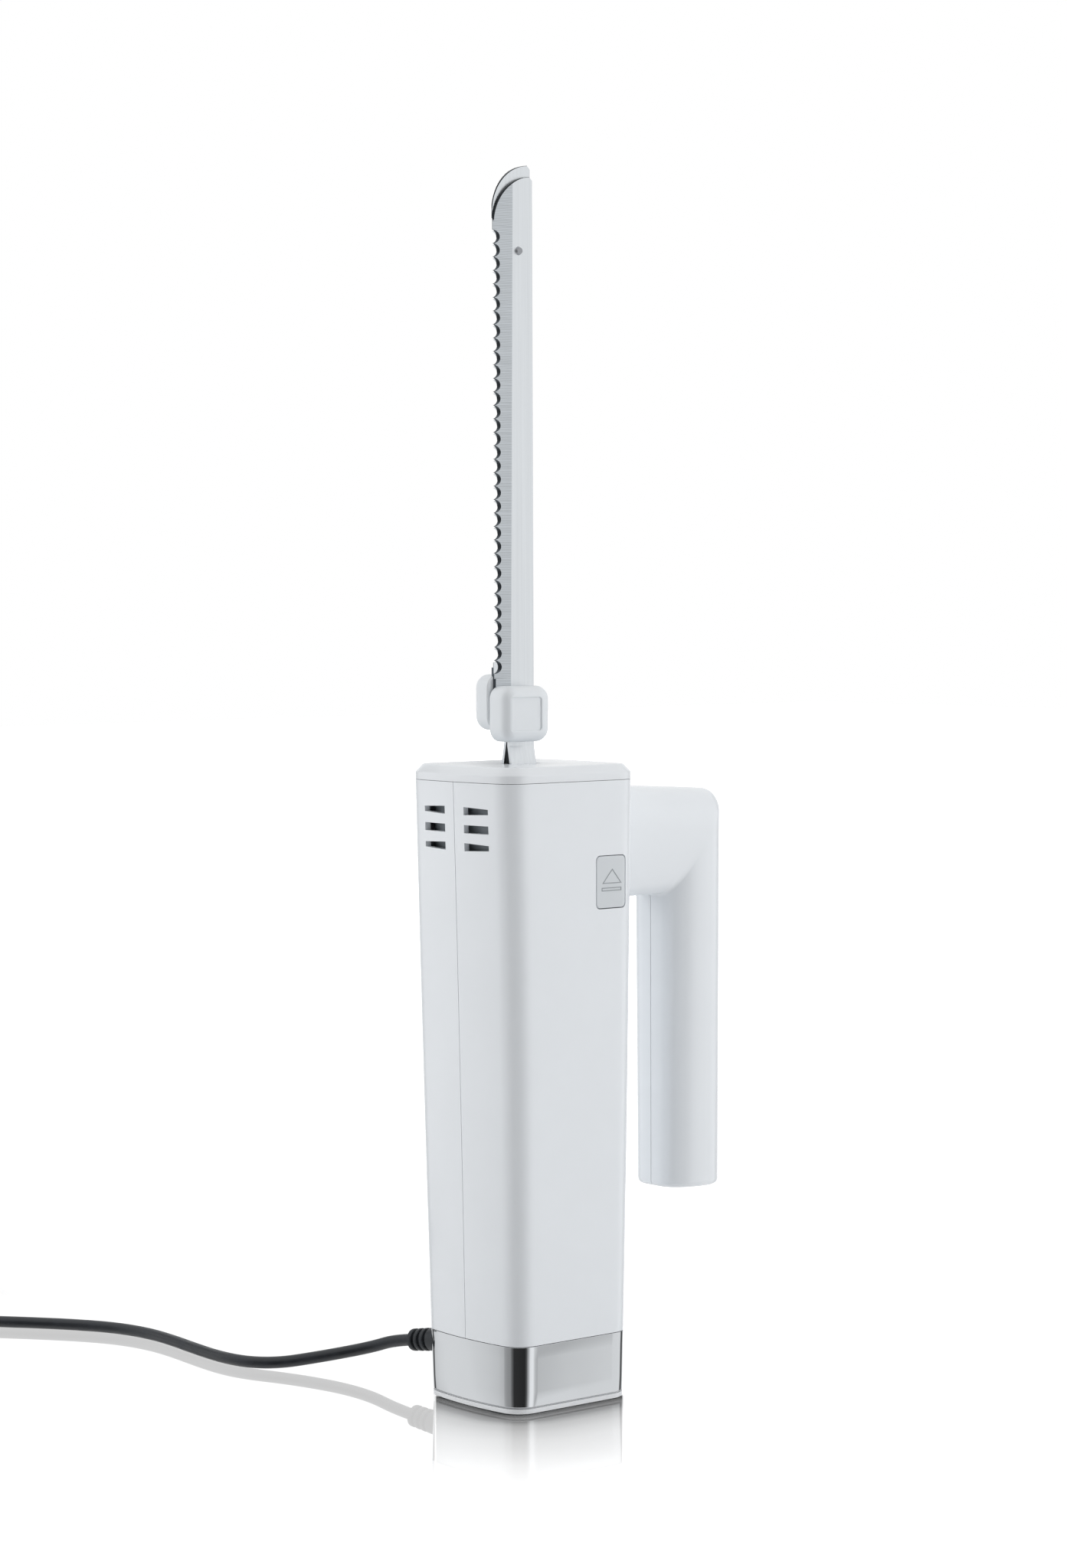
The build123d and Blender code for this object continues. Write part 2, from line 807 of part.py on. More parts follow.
# Put-away length of the cord: a two-layer coil of half turns beyond the view's left edge.
# Along the way in, "ahead" is the cord's last heading and "aside" is to its left.
last_run = [cord_points[-1][k] - cord_points[-2][k] for k in range(2)]
last_length = math.hypot(*last_run)
ahead = (last_run[0] / last_length, last_run[1] / last_length)
aside = (-ahead[1], ahead[0])
coil_pitch = cord_diameter + coil_gap
coil_middle_radius = coil_middle_diameters * cord_diameter / 2
coil_outer_radius = coil_middle_radius + (coil_half_turns / 4) * coil_pitch
coil_inner_radius = coil_outer_radius - coil_half_turns / 2 * coil_pitch
coil_low_z = cord_radius
coil_high_z = coil_low_z + coil_pitch
coil_entry = cord_points[-1]


def coil_point(forward, left, height):
    """A point ahead of and to the left of the coil's middle line."""
    start = cord_diameter
    return (
        coil_entry[0] + ahead[0] * (start + forward) + aside[0] * (coil_outer_radius + left),
        coil_entry[1] + ahead[1] * (start + forward) + aside[1] * (coil_outer_radius + left),
        height,
    )


# Where each half turn ends, to the left of the middle, with its height
turn_ends = [(-coil_outer_radius, coil_low_z)]
for half in range(coil_half_turns):
    reach = coil_outer_radius - ((half + 1) // 2) * coil_pitch
    turn_ends.append(((1 if half % 2 == 0 else -1) * reach, coil_low_z))
turn_ends.append((coil_inner_radius - coil_pitch / 2, coil_high_z))
for half in range(1, coil_half_turns):
    reach = coil_inner_radius + half * coil_pitch / 2
    turn_ends.append(((-1 if half % 2 == 1 else 1) * reach, coil_high_z))
with BuildLine() as coil_path:
    Line(coil_entry, coil_point(0, *turn_ends[0]))
    for half in range(len(turn_ends) - 1):
        start_left, start_z = turn_ends[half]
        stop_left, stop_z = turn_ends[half + 1]
        span = math.hypot(stop_left - start_left, stop_z - start_z)
        reach = span / 2 if half % 2 == 0 else -span / 2
        ThreePointArc(
            coil_point(0, start_left, start_z),
            coil_point(reach, (start_left + stop_left) / 2, (start_z + stop_z) / 2),
            coil_point(0, stop_left, stop_z),
        )
    coil_exit = coil_point(coil_lead, *turn_ends[-1])
    Line(coil_point(0, *turn_ends[-1]), coil_exit)
coil_wire = coil_path.wire()
cord_coil = tube(coil_wire, cord_diameter)
save(cord_coil, "cord_coil")
coil_length = coil_wire.length
print("coil volume share", round(cord_coil.part.volume / (section_area * coil_length), 4))
sample_count = int(coil_length / coil_sample)
samples = [tuple(coil_wire.position_at(i / sample_count)) for i in range(sample_count + 1)]
apart = int(coil_middle_radius / coil_sample)
least = min(
    math.dist(samples[i], samples[j])
    for i in range(0, sample_count + 1)
    for j in range(i + apart, sample_count + 1)
)
print("coil least gap to itself", round(least - cord_diameter, 3))
print("cord and coil length", round(cord_path.wire().length + coil_length, 1))

# Plug, lying flat at the end of the coil
plug_plane = Plane(origin=coil_exit, x_dir=(*aside, 0), z_dir=(*ahead, 0))
with BuildPart() as plug:
    with BuildSketch(plug_plane) as nose_end:
        Circle(plug_nose_radius)
    with BuildSketch(plug_plane.offset(plug_nose_length)) as shoulder:
        RectangleRounded(plug_width, plug_thickness, plug_corner)
    loft([nose_end.sketch, shoulder.sketch])
    extrude(shoulder.sketch, amount=plug_length - plug_nose_length)
save(plug, "plug")
with BuildPart() as plug_pins:
    with BuildSketch(plug_plane.offset(plug_length)):
        with GridLocations(plug_pin_spacing, 0, 2, 1):
            Circle(plug_pin_radius)
    extrude(amount=plug_pin_length)
save(plug_pins, "plug_pins")

# Gear frame: two cheeks, a floor and a shelf that hold the bearings, the axle and the guides
cheek_outer_y = cheek_inner_y + cheek_thickness
shelf_top_z = shelf_z + frame_plate
carrier_half = carrier_width / 2
stem_half = stem_width / 2
with BuildPart() as gear_frame:
    for side in (-1, 1):
        block(
            (frame_left_x, side * cheek_inner_y, frame_bottom_z),
            (frame_right_x, side * cheek_outer_y, shelf_top_z),
        )
        block(
            (wheel_x - stem_half, side * cheek_inner_y, plunger_low_z - 2 * crank_radius),
            (wheel_x + stem_half, side * cheek_outer_y, shelf_top_z),
            mode=Mode.SUBTRACT,
        )
        block(
            (button_spring_x - button_spring_radius, side * cheek_inner_y, shelf_z - frame_plate),
            (frame_right_x, side * button_spring_seat_y, shelf_top_z),
        )
    block(
        (frame_left_x, -cheek_inner_y, frame_bottom_z),
        (frame_right_x, cheek_inner_y, frame_bottom_z + frame_plate),
    )
    for low, high in ((frame_left_x, wheel_x - stem_half - shelf_gap),
                      (wheel_x + stem_half + shelf_gap, frame_right_x)):
        block((low, -cheek_inner_y, shelf_z), (high, cheek_inner_y, shelf_top_z))
    for side in (-1, 1):
        inner = wheel_x + side * (carrier_half + post_gap)
        outer = inner + side * post_thickness
        block((inner, -carrier_outer_y, shelf_z), (outer, carrier_outer_y, post_top_z))
    rod((wheel_x, -seam_depth / 2, wheel_z), (0, 1, 0), axle_radius, seam_depth, Mode.SUBTRACT)
    rod((shaft_x, 0, frame_bottom_z), (0, 0, 1), bearing_radius, frame_plate, Mode.SUBTRACT)
    rod((shaft_x, 0, shelf_z), (0, 0, 1), bearing_radius, frame_plate, Mode.SUBTRACT)
save(gear_frame, "gear_frame")

with BuildPart() as gear_axle:
    rod((wheel_x, -cheek_outer_y, wheel_z), (0, 1, 0), axle_radius, 2 * cheek_outer_y)
save(gear_axle, "gear_axle")


def bearing(low_z, height, name):
    with BuildPart() as ring:
        rod((shaft_x, 0, low_z), (0, 0, 1), bearing_radius, height)
        rod((shaft_x, 0, low_z), (0, 0, 1), shaft_radius + running_gap, height, Mode.SUBTRACT)
    save(ring, name)


bearing(shelf_z, frame_plate, "upper_bearing")
bearing(frame_bottom_z + frame_plate - bearing_height, bearing_height, "middle_bearing")
bearing(bracket_z + bracket_thickness - bearing_height, bearing_height, "lower_bearing")

# Worm wheel with an eccentric on each face, half a turn apart
phase = math.radians(rest_phase)
with BuildPart() as worm_wheel:
    with BuildSketch(Plane.XZ):
        with Locations((wheel_x, wheel_z)):
            Circle(wheel_root_radius)
            tooth_height = wheel_tip_radius - wheel_root_radius
            with PolarLocations(wheel_root_radius + tooth_height / 2, wheel_teeth):
                Trapezoid(tooth_width, tooth_height + fit_gap, tooth_angle, rotation=-90)
    extrude(amount=wheel_thickness / 2, both=True)
    for side in (-1, 1):
        center_x = wheel_x - side * crank_radius * math.cos(phase)
        center_z = wheel_z + side * crank_radius * math.sin(phase)
        face_y = side * wheel_thickness / 2
        rod((center_x, face_y, center_z), (0, side, 0), eccentric_radius, eccentric_thickness)
        hub_length = cheek_inner_y - running_gap - wheel_thickness / 2
        rod((wheel_x, face_y, wheel_z), (0, side, 0), axle_radius + wall / 2, hub_length)
    rod(
        (wheel_x, -cheek_inner_y, wheel_z),
        (0, 1, 0),
        axle_radius + running_gap,
        2 * cheek_inner_y,
        Mode.SUBTRACT,
    )
save(worm_wheel, "worm_wheel")

with BuildPart() as motor_shaft:
    rod((shaft_x, 0, shaft_bottom_z), (0, 0, 1), shaft_radius, shaft_top_z - shaft_bottom_z)
save(motor_shaft, "motor_shaft")


def on_shaft(low_z, radius, height, mode=Mode.ADD):
    rod((shaft_x, 0, low_z), (0, 0, 1), radius, height, mode)


with BuildPart() as worm:
    on_shaft(wheel_z - worm_half_length, worm_radius, 2 * worm_half_length)
    on_shaft(wheel_z - worm_half_length, shaft_radius, 2 * worm_half_length, Mode.SUBTRACT)
save(worm, "worm")

# Carriers: a yoke around the eccentric, a neck and a socket for the blade's tang
blade_rise = crank_radius


def carrier(side, rise):
    """The carrier on one side of the wheel, with the pin its latch rocks on."""
    yoke_z = wheel_z + side * crank_radius / 2
    inner = side * (wheel_thickness / 2 + yoke_gap)
    slot_length = 2 * (crank_radius + eccentric_radius + yoke_side_play)
    slot_height = 2 * (eccentric_radius + yoke_play)
    bottom = carrier_bottom_z + rise
    with BuildPart() as piece:
        with BuildSketch(Plane(origin=(wheel_x, inner, yoke_z), x_dir=(-side, 0, 0), z_dir=(0, side, 0))):
            SlotOverall(slot_length + 2 * yoke_rim, slot_height + 2 * yoke_rim)
            SlotOverall(slot_length, slot_height, mode=Mode.SUBTRACT)
        extrude(amount=yoke_thickness)
        neck_foot = yoke_z + slot_height / 2 + yoke_rim / 2
        block(
            (wheel_x - stem_half, inner, neck_foot),
            (wheel_x + stem_half, side * stem_outer_y, bottom),
        )
        block(
            (wheel_x - stem_half, side * carrier_inner_y, stem_foot_z + rise),
            (wheel_x + stem_half, side * stem_outer_y, bottom),
        )
        block(
            (wheel_x - carrier_half, side * carrier_inner_y, bottom),
            (wheel_x + carrier_half, side * carrier_outer_y, carrier_top_z + rise),
        )
        block(
            (tang_left_x - socket_gap, side * (tang_spread - socket_gap), socket_floor_z + rise),
            (
                tang_right_x + socket_gap,
                side * (tang_spread + blade_thickness + socket_gap),
                carrier_top_z + rise,
            ),
            mode=Mode.SUBTRACT,
        )
        nub_low = latch_nub_z + rise - latch_nub_height / 2 - nub_clearance
        nub_half = latch_nub_width / 2 + lug_gap
        block(
            (wheel_x - nub_half, side * (tang_spread + blade_thickness), nub_low),
            (
                wheel_x + nub_half,
                side * carrier_outer_y,
                nub_low + latch_nub_height + 2 * nub_clearance,
            ),
            mode=Mode.SUBTRACT,
        )
        pivot_y = side * (latch_inner_y + latch_thickness / 2)
        pivot_z = latch_pivot_z + rise
        lug_inner = latch_width / 2 + lug_gap
        for lug in (-1, 1):
            block(
                (
                    wheel_x + lug * lug_inner,
                    side * carrier_outer_y,
                    pivot_z - latch_barrel_radius,
                ),
                (
                    wheel_x + lug * (lug_inner + lug_thickness),
                    pivot_y + side * latch_barrel_radius,
                    pivot_z + latch_barrel_radius,
                ),
            )
        rod((wheel_x - lug_inner, pivot_y, pivot_z), (1, 0, 0), latch_pin_radius, 2 * lug_inner)
    return piece


def latch(side, rise, tail_z):
    """A rocking clip whose nub holds the tang and whose tail bar the release button pushes.

    The window above the bar lets the plunger pass when the carrier stands lower than at rest."""
    pivot_y = side * (latch_inner_y + latch_thickness / 2)
    pivot_z = latch_pivot_z + rise
    half = latch_width / 2
    nub_z = latch_nub_z + rise
    nub_tip = tang_spread + blade_thickness + plunger_tip_gap
    with BuildPart() as piece:
        block(
            (wheel_x - half, side * latch_inner_y, tail_z),
            (
                wheel_x + half,
                side * (latch_inner_y + latch_thickness),
                nub_z + latch_nub_height / 2,
            ),
        )
        block(
            (wheel_x - latch_nub_width / 2, side * nub_tip, nub_z - latch_nub_height / 2),
            (
                wheel_x + latch_nub_width / 2,
                side * latch_inner_y,
                nub_z + latch_nub_height / 2,
            ),
        )
        block(
            (wheel_x - latch_window_width / 2, side * (latch_inner_y - overrun), tail_z + latch_tail_bar),
            (
                wheel_x + latch_window_width / 2,
                side * (latch_inner_y + latch_thickness + overrun),
                pivot_z - latch_barrel_radius - latch_window_gap,
            ),
            Mode.SUBTRACT,
        )
        rod((wheel_x - half, pivot_y, pivot_z), (1, 0, 0), latch_barrel_radius, latch_width)
        rod(
            (wheel_x - half, pivot_y, pivot_z),
            (1, 0, 0),
            latch_pin_radius + running_gap,
            latch_width,
            Mode.SUBTRACT,
        )
    return piece


save(carrier(-1, 0), "carrier_front")
save(carrier(1, blade_rise), "carrier_rear")
save(latch(-1, 0, latch_front_tail_z), "latch_clip_front")
save(latch(1, blade_rise, latch_rear_tail_z), "latch_clip_rear")


with BuildPart() as flange_form:
    loft(body_levels(band_top_z, seam_z, wall + fit_gap))


def release_button(side):
    """A flush key with an eject sign, a flange behind it and a plunger to the latch."""
    face_y = half_depth(button_bottom_z + button_height / 2)
    plane = side_window(side)
    flange_inner = half_depth(button_bottom_z) - wall - fit_gap - button_flange_thickness
    middle_z = button_bottom_z + button_height / 2
    with BuildPart() as flange:
        with BuildSketch(plane.offset(flange_inner)):
            RectangleRounded(
                button_width + 2 * button_flange, button_height + 2 * button_flange, button_corner
            )
        extrude(amount=overrun)
        add(flange_form.part, mode=Mode.INTERSECT)
    with BuildPart() as piece:
        with BuildSketch(plane.offset(flange_inner)):
            RectangleRounded(button_width, button_height, button_corner)
        extrude(amount=overrun)
        add(body_form.part, mode=Mode.INTERSECT)
        add(flange.part)
        # raised eject sign
        with BuildSketch(plane.offset(face_y - sign_raise)):
            with BuildLine():
                sign_z = sign_low_z - middle_z + 3 * sign_line
                Polyline(
                    (-sign_width / 2, sign_z),
                    (sign_width / 2, sign_z),
                    (0, sign_z + sign_height),
                    close=True,
                )
            make_face()
            offset(amount=-sign_line, kind=Kind.INTERSECTION, mode=Mode.SUBTRACT)
            with Locations((0, sign_low_z - middle_z + sign_line / 2)):
                Rectangle(sign_width, sign_line)
        extrude(amount=2 * sign_raise)
        # plunger
        tip = latch_inner_y + latch_thickness + plunger_tip_gap
        high = plunger_low_z + plunger_height
        block(
            (button_left_x, side * plunger_arm_y, plunger_low_z),
            (button_left_x + plunger_arm, side * flange_inner, high),
        )
        block(
            (wheel_x - plunger_width / 2, side * plunger_arm_y, plunger_low_z),
            (button_left_x + plunger_arm, side * (plunger_arm_y + plunger_arm), high),
        )
        block(
            (wheel_x - plunger_width / 2, side * tip, plunger_low_z),
            (wheel_x + plunger_width / 2, side * plunger_arm_y, high),
        )
    return piece


def spring(start, direction, length, radius, thickness, name):
    """A compression spring drawn as the tube it fills when it is pressed."""
    with BuildPart() as piece:
        rod(start, direction, radius, length)
        rod(start, direction, radius - thickness, length, Mode.SUBTRACT)
    save(piece, name)


button_back_y = half_depth(button_bottom_z) - wall - fit_gap - button_flange_thickness
for side, place in ((-1, "front"), (1, "rear")):
    save(release_button(side), f"release_button_{place}")
    spring(
        (button_spring_x, side * button_spring_seat_y, button_spring_z),
        (0, side, 0),
        button_back_y - button_spring_seat_y - button_travel - plunger_tip_gap,
        button_spring_radius,
        button_spring_wire,
        f"button_spring_{place}",
    )

# Motor: laminated stator with two field coils, armature, commutator, brushes and fan
window_y = coil_inner_y + coil_depth / 2
stack_top_z = stack_bottom_z + stack_height
with BuildPart() as stator_core:
    with BuildSketch(Plane.XY.offset(stack_bottom_z)):
        with Locations((shaft_x, 0)):
            RectangleRounded(stator_width, stator_depth, stator_corner)
            Circle(armature_radius + air_gap, mode=Mode.SUBTRACT)
            with GridLocations(coil_window, 2 * window_y, 2, 2):
                Rectangle(coil_side, coil_depth, mode=Mode.SUBTRACT)
    extrude(amount=stack_height)
save(stator_core, "stator_core")
with BuildPart() as field_coils:
    for side in (-1, 1):
        plane = Plane(
            origin=(shaft_x, side * coil_inner_y, stack_bottom_z + stack_height / 2),
            x_dir=(-side, 0, 0),
            z_dir=(0, side, 0),
        )
        with BuildSketch(plane):
            RectangleRounded(
                coil_window + coil_side, stack_height + 2 * coil_reach, coil_side
            )
            Rectangle(coil_window - coil_side, stack_height, mode=Mode.SUBTRACT)
        extrude(amount=coil_depth)
save(field_coils, "field_coils")

with BuildPart() as armature_core:
    with BuildSketch(Plane.XY.offset(stack_bottom_z)):
        with Locations((shaft_x, 0)):
            Circle(armature_radius)
            Circle(shaft_radius, mode=Mode.SUBTRACT)
            with PolarLocations(armature_radius - slot_depth / 2, slot_count):
                Rectangle(slot_depth, slot_width, mode=Mode.SUBTRACT)
    extrude(amount=stack_height)
save(armature_core, "armature_core")
with BuildPart() as armature_windings:
    with BuildSketch(Plane.XY.offset(stack_bottom_z)):
        with Locations((shaft_x, 0)):
            with PolarLocations(armature_radius - slot_depth / 2 - fit_gap, slot_count):
                Rectangle(slot_depth - 2 * fit_gap, slot_width - fit_gap)
    extrude(amount=stack_height)
    for low in (stack_bottom_z - winding_height, stack_top_z):
        on_shaft(low, winding_radius, winding_height)
    fillet(armature_windings.edges().filter_by(GeomType.CIRCLE).sort_by(Axis.Z)[0], winding_height / 3)
    fillet(armature_windings.edges().filter_by(GeomType.CIRCLE).sort_by(Axis.Z)[-1], winding_height / 3)
    on_shaft(stack_bottom_z - winding_height, shaft_radius, stack_height + 2 * winding_height, Mode.SUBTRACT)
save(armature_windings, "armature_windings")

with BuildPart() as commutator:
    with BuildSketch(Plane.XY.offset(commutator_z)):
        with Locations((shaft_x, 0)):
            Circle(commutator_radius)
            Circle(shaft_radius, mode=Mode.SUBTRACT)
            with PolarLocations(commutator_radius, slot_count):
                Rectangle(wall / 2, fit_gap * 2, mode=Mode.SUBTRACT)
    extrude(amount=commutator_height)
save(commutator, "commutator")

with BuildPart() as cooling_fan:
    on_shaft(fan_z, fan_hub_radius, fan_plate + fan_blade_height)
    on_shaft(fan_z, fan_radius, fan_plate)
    with BuildSketch(Plane.XY.offset(fan_z + fan_plate)):
        with Locations((shaft_x, 0)):
            with PolarLocations((fan_radius + fan_hub_radius) / 2, fan_blades):
                Rectangle(fan_radius - fan_hub_radius + fan_plate, fan_blade_thickness)
    extrude(amount=fan_blade_height)
    on_shaft(fan_z, shaft_radius, fan_plate + fan_blade_height, Mode.SUBTRACT)
save(cooling_fan, "cooling_fan")

# Lower bracket under the stator, with the bearing seat and the brush holders on it
bracket_top_z = bracket_z + bracket_thickness
brush_z = commutator_z + commutator_height / 2
with BuildPart() as motor_bracket:
    block(
        (shaft_x - bracket_width / 2, -bracket_arm / 2, bracket_z),
        (shaft_x + bracket_width / 2, bracket_arm / 2, bracket_top_z),
    )
    arm_half = brush_width / 2 + holder_wall
    holder_end_y = holder_start_y + holder_length
    block(
        (shaft_x - arm_half, -holder_end_y, bracket_z),
        (shaft_x + arm_half, holder_end_y, bracket_top_z),
    )
    for side in (-1, 1):
        outer = shaft_x + side * bracket_width / 2
        block(
            (outer, -pillar_depth / 2, bracket_z),
            (outer - side * pillar_width, pillar_depth / 2, stack_bottom_z),
        )
    on_shaft(bracket_z, bearing_radius, bracket_thickness, Mode.SUBTRACT)
save(motor_bracket, "motor_bracket")

with BuildPart() as brush_holders:
    for side in (-1, 1):
        block(
            (shaft_x - arm_half, side * holder_start_y, brush_z - brush_height / 2 - holder_wall),
            (shaft_x + arm_half, side * holder_end_y, brush_z + brush_height / 2 + holder_wall),
        )
        block(
            (shaft_x - arm_half, side * (holder_start_y + holder_length / 2), bracket_top_z),
            (shaft_x + arm_half, side * holder_end_y, brush_z),
        )
        block(
            (shaft_x - brush_width / 2, side * holder_start_y, brush_z - brush_height / 2),
            (
                shaft_x + brush_width / 2,
                side * (holder_end_y - holder_wall),
                brush_z + brush_height / 2,
            ),
            mode=Mode.SUBTRACT,
        )
save(brush_holders, "brush_holders")
brush_start_y = commutator_radius + running_gap
with BuildPart() as carbon_brushes:
    for side in (-1, 1):
        block(
            (shaft_x - brush_width / 2, side * brush_start_y, brush_z - brush_height / 2),
            (
                shaft_x + brush_width / 2,
                side * (brush_start_y + brush_length),
                brush_z + brush_height / 2,
            ),
        )
save(carbon_brushes, "carbon_brushes")
with BuildPart() as brush_springs:
    for side in (-1, 1):
        start = (shaft_x, side * (brush_start_y + brush_length), brush_z)
        length = holder_end_y - holder_wall - brush_start_y - brush_length
        rod(start, (0, side, 0), spring_radius, length)
        rod(start, (0, side, 0), spring_radius / 2, length, Mode.SUBTRACT)
save(brush_springs, "brush_springs")

with BuildPart() as suppression_capacitor:
    block(
        (shaft_x - bracket_width / 2, -capacitor_depth / 2, bracket_z - capacitor_height),
        (shaft_x - bearing_radius - fit_gap, capacitor_depth / 2, bracket_z),
    )
save(suppression_capacitor, "suppression_capacitor")

# Power button, its lock and the switch behind them, on the outer side of the grip
power_middle_z = power_z + power_height / 2
flange_x = grip_outer_x - grip_wall - power_gap
power_plane = Plane(origin=(0, 0, power_middle_z), x_dir=(0, 1, 0), z_dir=(1, 0, 0))
with BuildPart() as power_button:
    with BuildSketch(power_plane.offset(flange_x - power_flange)):
        RectangleRounded(power_width, power_height, power_corner)
    extrude(amount=grip_outer_x + power_proud - flange_x + power_flange)
    fillet(power_button.faces().sort_by(Axis.X)[-1].edges(), power_proud / 2)
    with BuildSketch(power_plane.offset(flange_x - power_flange)):
        Rectangle(power_width, power_height + 2 * power_flange)
    extrude(amount=power_flange)
    rod((flange_x - power_flange, 0, power_middle_z), (-1, 0, 0), power_stem_radius, power_stem)
save(power_button, "power_button")
switch_face_x = flange_x - power_flange - power_stem - power_travel - fit_gap
with BuildPart() as switch_block:
    block(
        (switch_face_x - switch_depth, -switch_width / 2, power_middle_z - switch_height / 2),
        (switch_face_x, switch_width / 2, power_middle_z + switch_height / 2),
    )
save(switch_block, "switch_block")
spring(
    (switch_face_x, 0, power_middle_z),
    (1, 0, 0),
    flange_x - power_flange - switch_face_x - power_travel - plunger_tip_gap,
    power_stem_radius + 2 * button_spring_wire,
    button_spring_wire,
    "switch_spring",
)
lock_back_x = grip_outer_x - grip_wall - lock_seat_gap
with BuildPart() as lock_slider:
    lock_low = lock_z
    block(
        (grip_outer_x + lock_seat_gap, -lock_width / 2, lock_low),
        (grip_outer_x + lock_seat_gap + lock_proud, lock_width / 2, lock_low + lock_height),
    )
    fillet(lock_slider.edges().filter_by(Axis.X), lock_proud)
    fillet(lock_slider.faces().sort_by(Axis.X)[-1].edges(), lock_proud / 2)
    stem_low = lock_z + (lock_height - lock_stem) / 2
    block(
        (lock_back_x - lock_foot, -lock_stem / 2, stem_low),
        (grip_outer_x + lock_proud / 2, lock_stem / 2, stem_low + lock_stem),
    )
    block(
        (lock_back_x - lock_foot, -lock_width / 2, lock_low),
        (lock_back_x, lock_width / 2, lock_low + lock_height),
    )
save(lock_slider, "lock_slider")

# Screw that closes the grip near its end
with BuildPart() as grip_screw:
    seat = (grip_center_x, grip_end_half_depth - 2 * wall, grip_screw_z)
    rod(seat, (0, -1, 0), screw_radius, 2 * grip_end_half_depth - 5 * wall)
    rod(seat, (0, 1, 0), screw_head_radius, screw_head_height)
save(grip_screw, "grip_screw")


# Blades: a bevelled plate with slanting gullets, joggled outwards into its tang
def blade_plate(side, rise):
    inner = side * blade_gap / 2
    outer = inner + side * blade_thickness
    plane = Plane(origin=(0, inner, rise), x_dir=(1, 0, 0), z_dir=(0, -1, 0))
    out_amount = blade_thickness if side < 0 else -blade_thickness
    with BuildPart() as piece:
        with BuildSketch(plane) as face:
            with BuildLine():
                Polyline(
                    (spine_x, blade_low_z),
                    (edge_x, blade_low_z),
                    (edge_x, tip_start_z),
                )
                ThreePointArc(
                    (edge_x, tip_start_z),
                    (tip_middle_x, tip_middle_z),
                    (spine_x - tip_corner, tip_top_z),
                )
                Polyline(
                    (spine_x - tip_corner, tip_top_z),
                    (spine_x, tip_top_z - tip_corner),
                    (spine_x, blade_low_z),
                )
            make_face()
        extrude(amount=out_amount)
        # tang, stepped outwards under the blade
        with BuildSketch(Plane.YZ.offset(tang_left_x)):
            with BuildLine():
                foot = side * tang_spread
                thick = side * blade_thickness
                joggle_low = blade_root_z - joggle_height + rise
                Polyline(
                    (inner, blade_low_z + joggle_height + rise),
                    (inner, blade_root_z + rise),
                    (foot, joggle_low),
                    (foot, tang_bottom_z + rise),
                    (foot + thick, tang_bottom_z + rise),
                    (foot + thick, joggle_low),
                    (outer, blade_root_z + rise),
                    (outer, blade_low_z + joggle_height + rise),
                    close=True,
                )
            make_face()
        extrude(amount=tang_right_x - tang_left_x)
        # bevel: everything outside a plane from the bevel line to the edge comes off
        sections = []
        for z, top_x in ((heel_z, bevel_heel_x), (tip_top_z + overrun, bevel_top_x)):
            slope = (blade_thickness - edge_thickness) / (top_x - edge_x)
            past_x = edge_x - overrun
            past_y = inner + side * (edge_thickness - slope * overrun)
            with BuildSketch(Plane.XY.offset(z + rise)) as wedge:
                with BuildLine():
                    Polyline(
                        (top_x, outer),
                        (past_x, past_y),
                        (past_x, outer + side * blade_thickness),
                        (top_x + blade_thickness, outer + side * blade_thickness),
                        (top_x + blade_thickness, outer),
                        close=True,
                    )
                make_face()
            sections.append(wedge.sketch)
        loft(sections, ruled=True, mode=Mode.SUBTRACT)
        # gullets, slanting back under the bevel
        slant = math.radians(gullet_slant)
        gullet_x = edge_x + gullet_depth - gullet_radius
        with BuildSketch(plane) as gullets:
            for tooth in range(tooth_count):
                with Locations((gullet_x, first_tooth_z - (tooth + 1 / 2) * tooth_pitch)):
                    Circle(gullet_radius)
        extrude(
            gullets.sketch,
            amount=2 * blade_thickness / math.cos(slant),
            dir=(math.sin(slant), side * math.cos(slant), 0),
            mode=Mode.SUBTRACT,
        )
        if side < 0:
            rod((rivet_x, -seam_depth / 2, rivet_z), (0, 1, 0), rivet_radius, seam_depth, Mode.SUBTRACT)
        else:
            low = rivet_z - crank_radius - rivet_radius - socket_gap
            high = rivet_z + 3 * crank_radius + rivet_radius + socket_gap
            slot_plane = Plane(origin=(rivet_x, 0, (low + high) / 2), x_dir=(0, 0, 1), z_dir=(0, 1, 0))
            with BuildSketch(slot_plane):
                SlotOverall(high - low, 2 * (rivet_radius + socket_gap))
            extrude(amount=seam_depth, mode=Mode.SUBTRACT)
    return piece


save(blade_plate(-1, 0), "blade_front")
save(blade_plate(1, blade_rise), "blade_rear")

blade_face_y = blade_gap / 2 + blade_thickness
with BuildPart() as blade_rivet:
    shank = 2 * blade_face_y + running_gap
    rod((rivet_x, -blade_face_y, rivet_z), (0, 1, 0), rivet_radius, shank)
    with Locations(Plane(origin=(rivet_x, -blade_face_y, rivet_z), z_dir=(0, -1, 0))):
        Cone(
            rivet_front_radius,
            rivet_radius,
            rivet_front_height,
            align=(Align.CENTER, Align.CENTER, Align.MIN),
        )
    rear_face = blade_face_y + running_gap
    rod((rivet_x, rear_face, rivet_z), (0, 1, 0), rivet_head_radius, rivet_head_height)
save(blade_rivet, "blade_rivet")


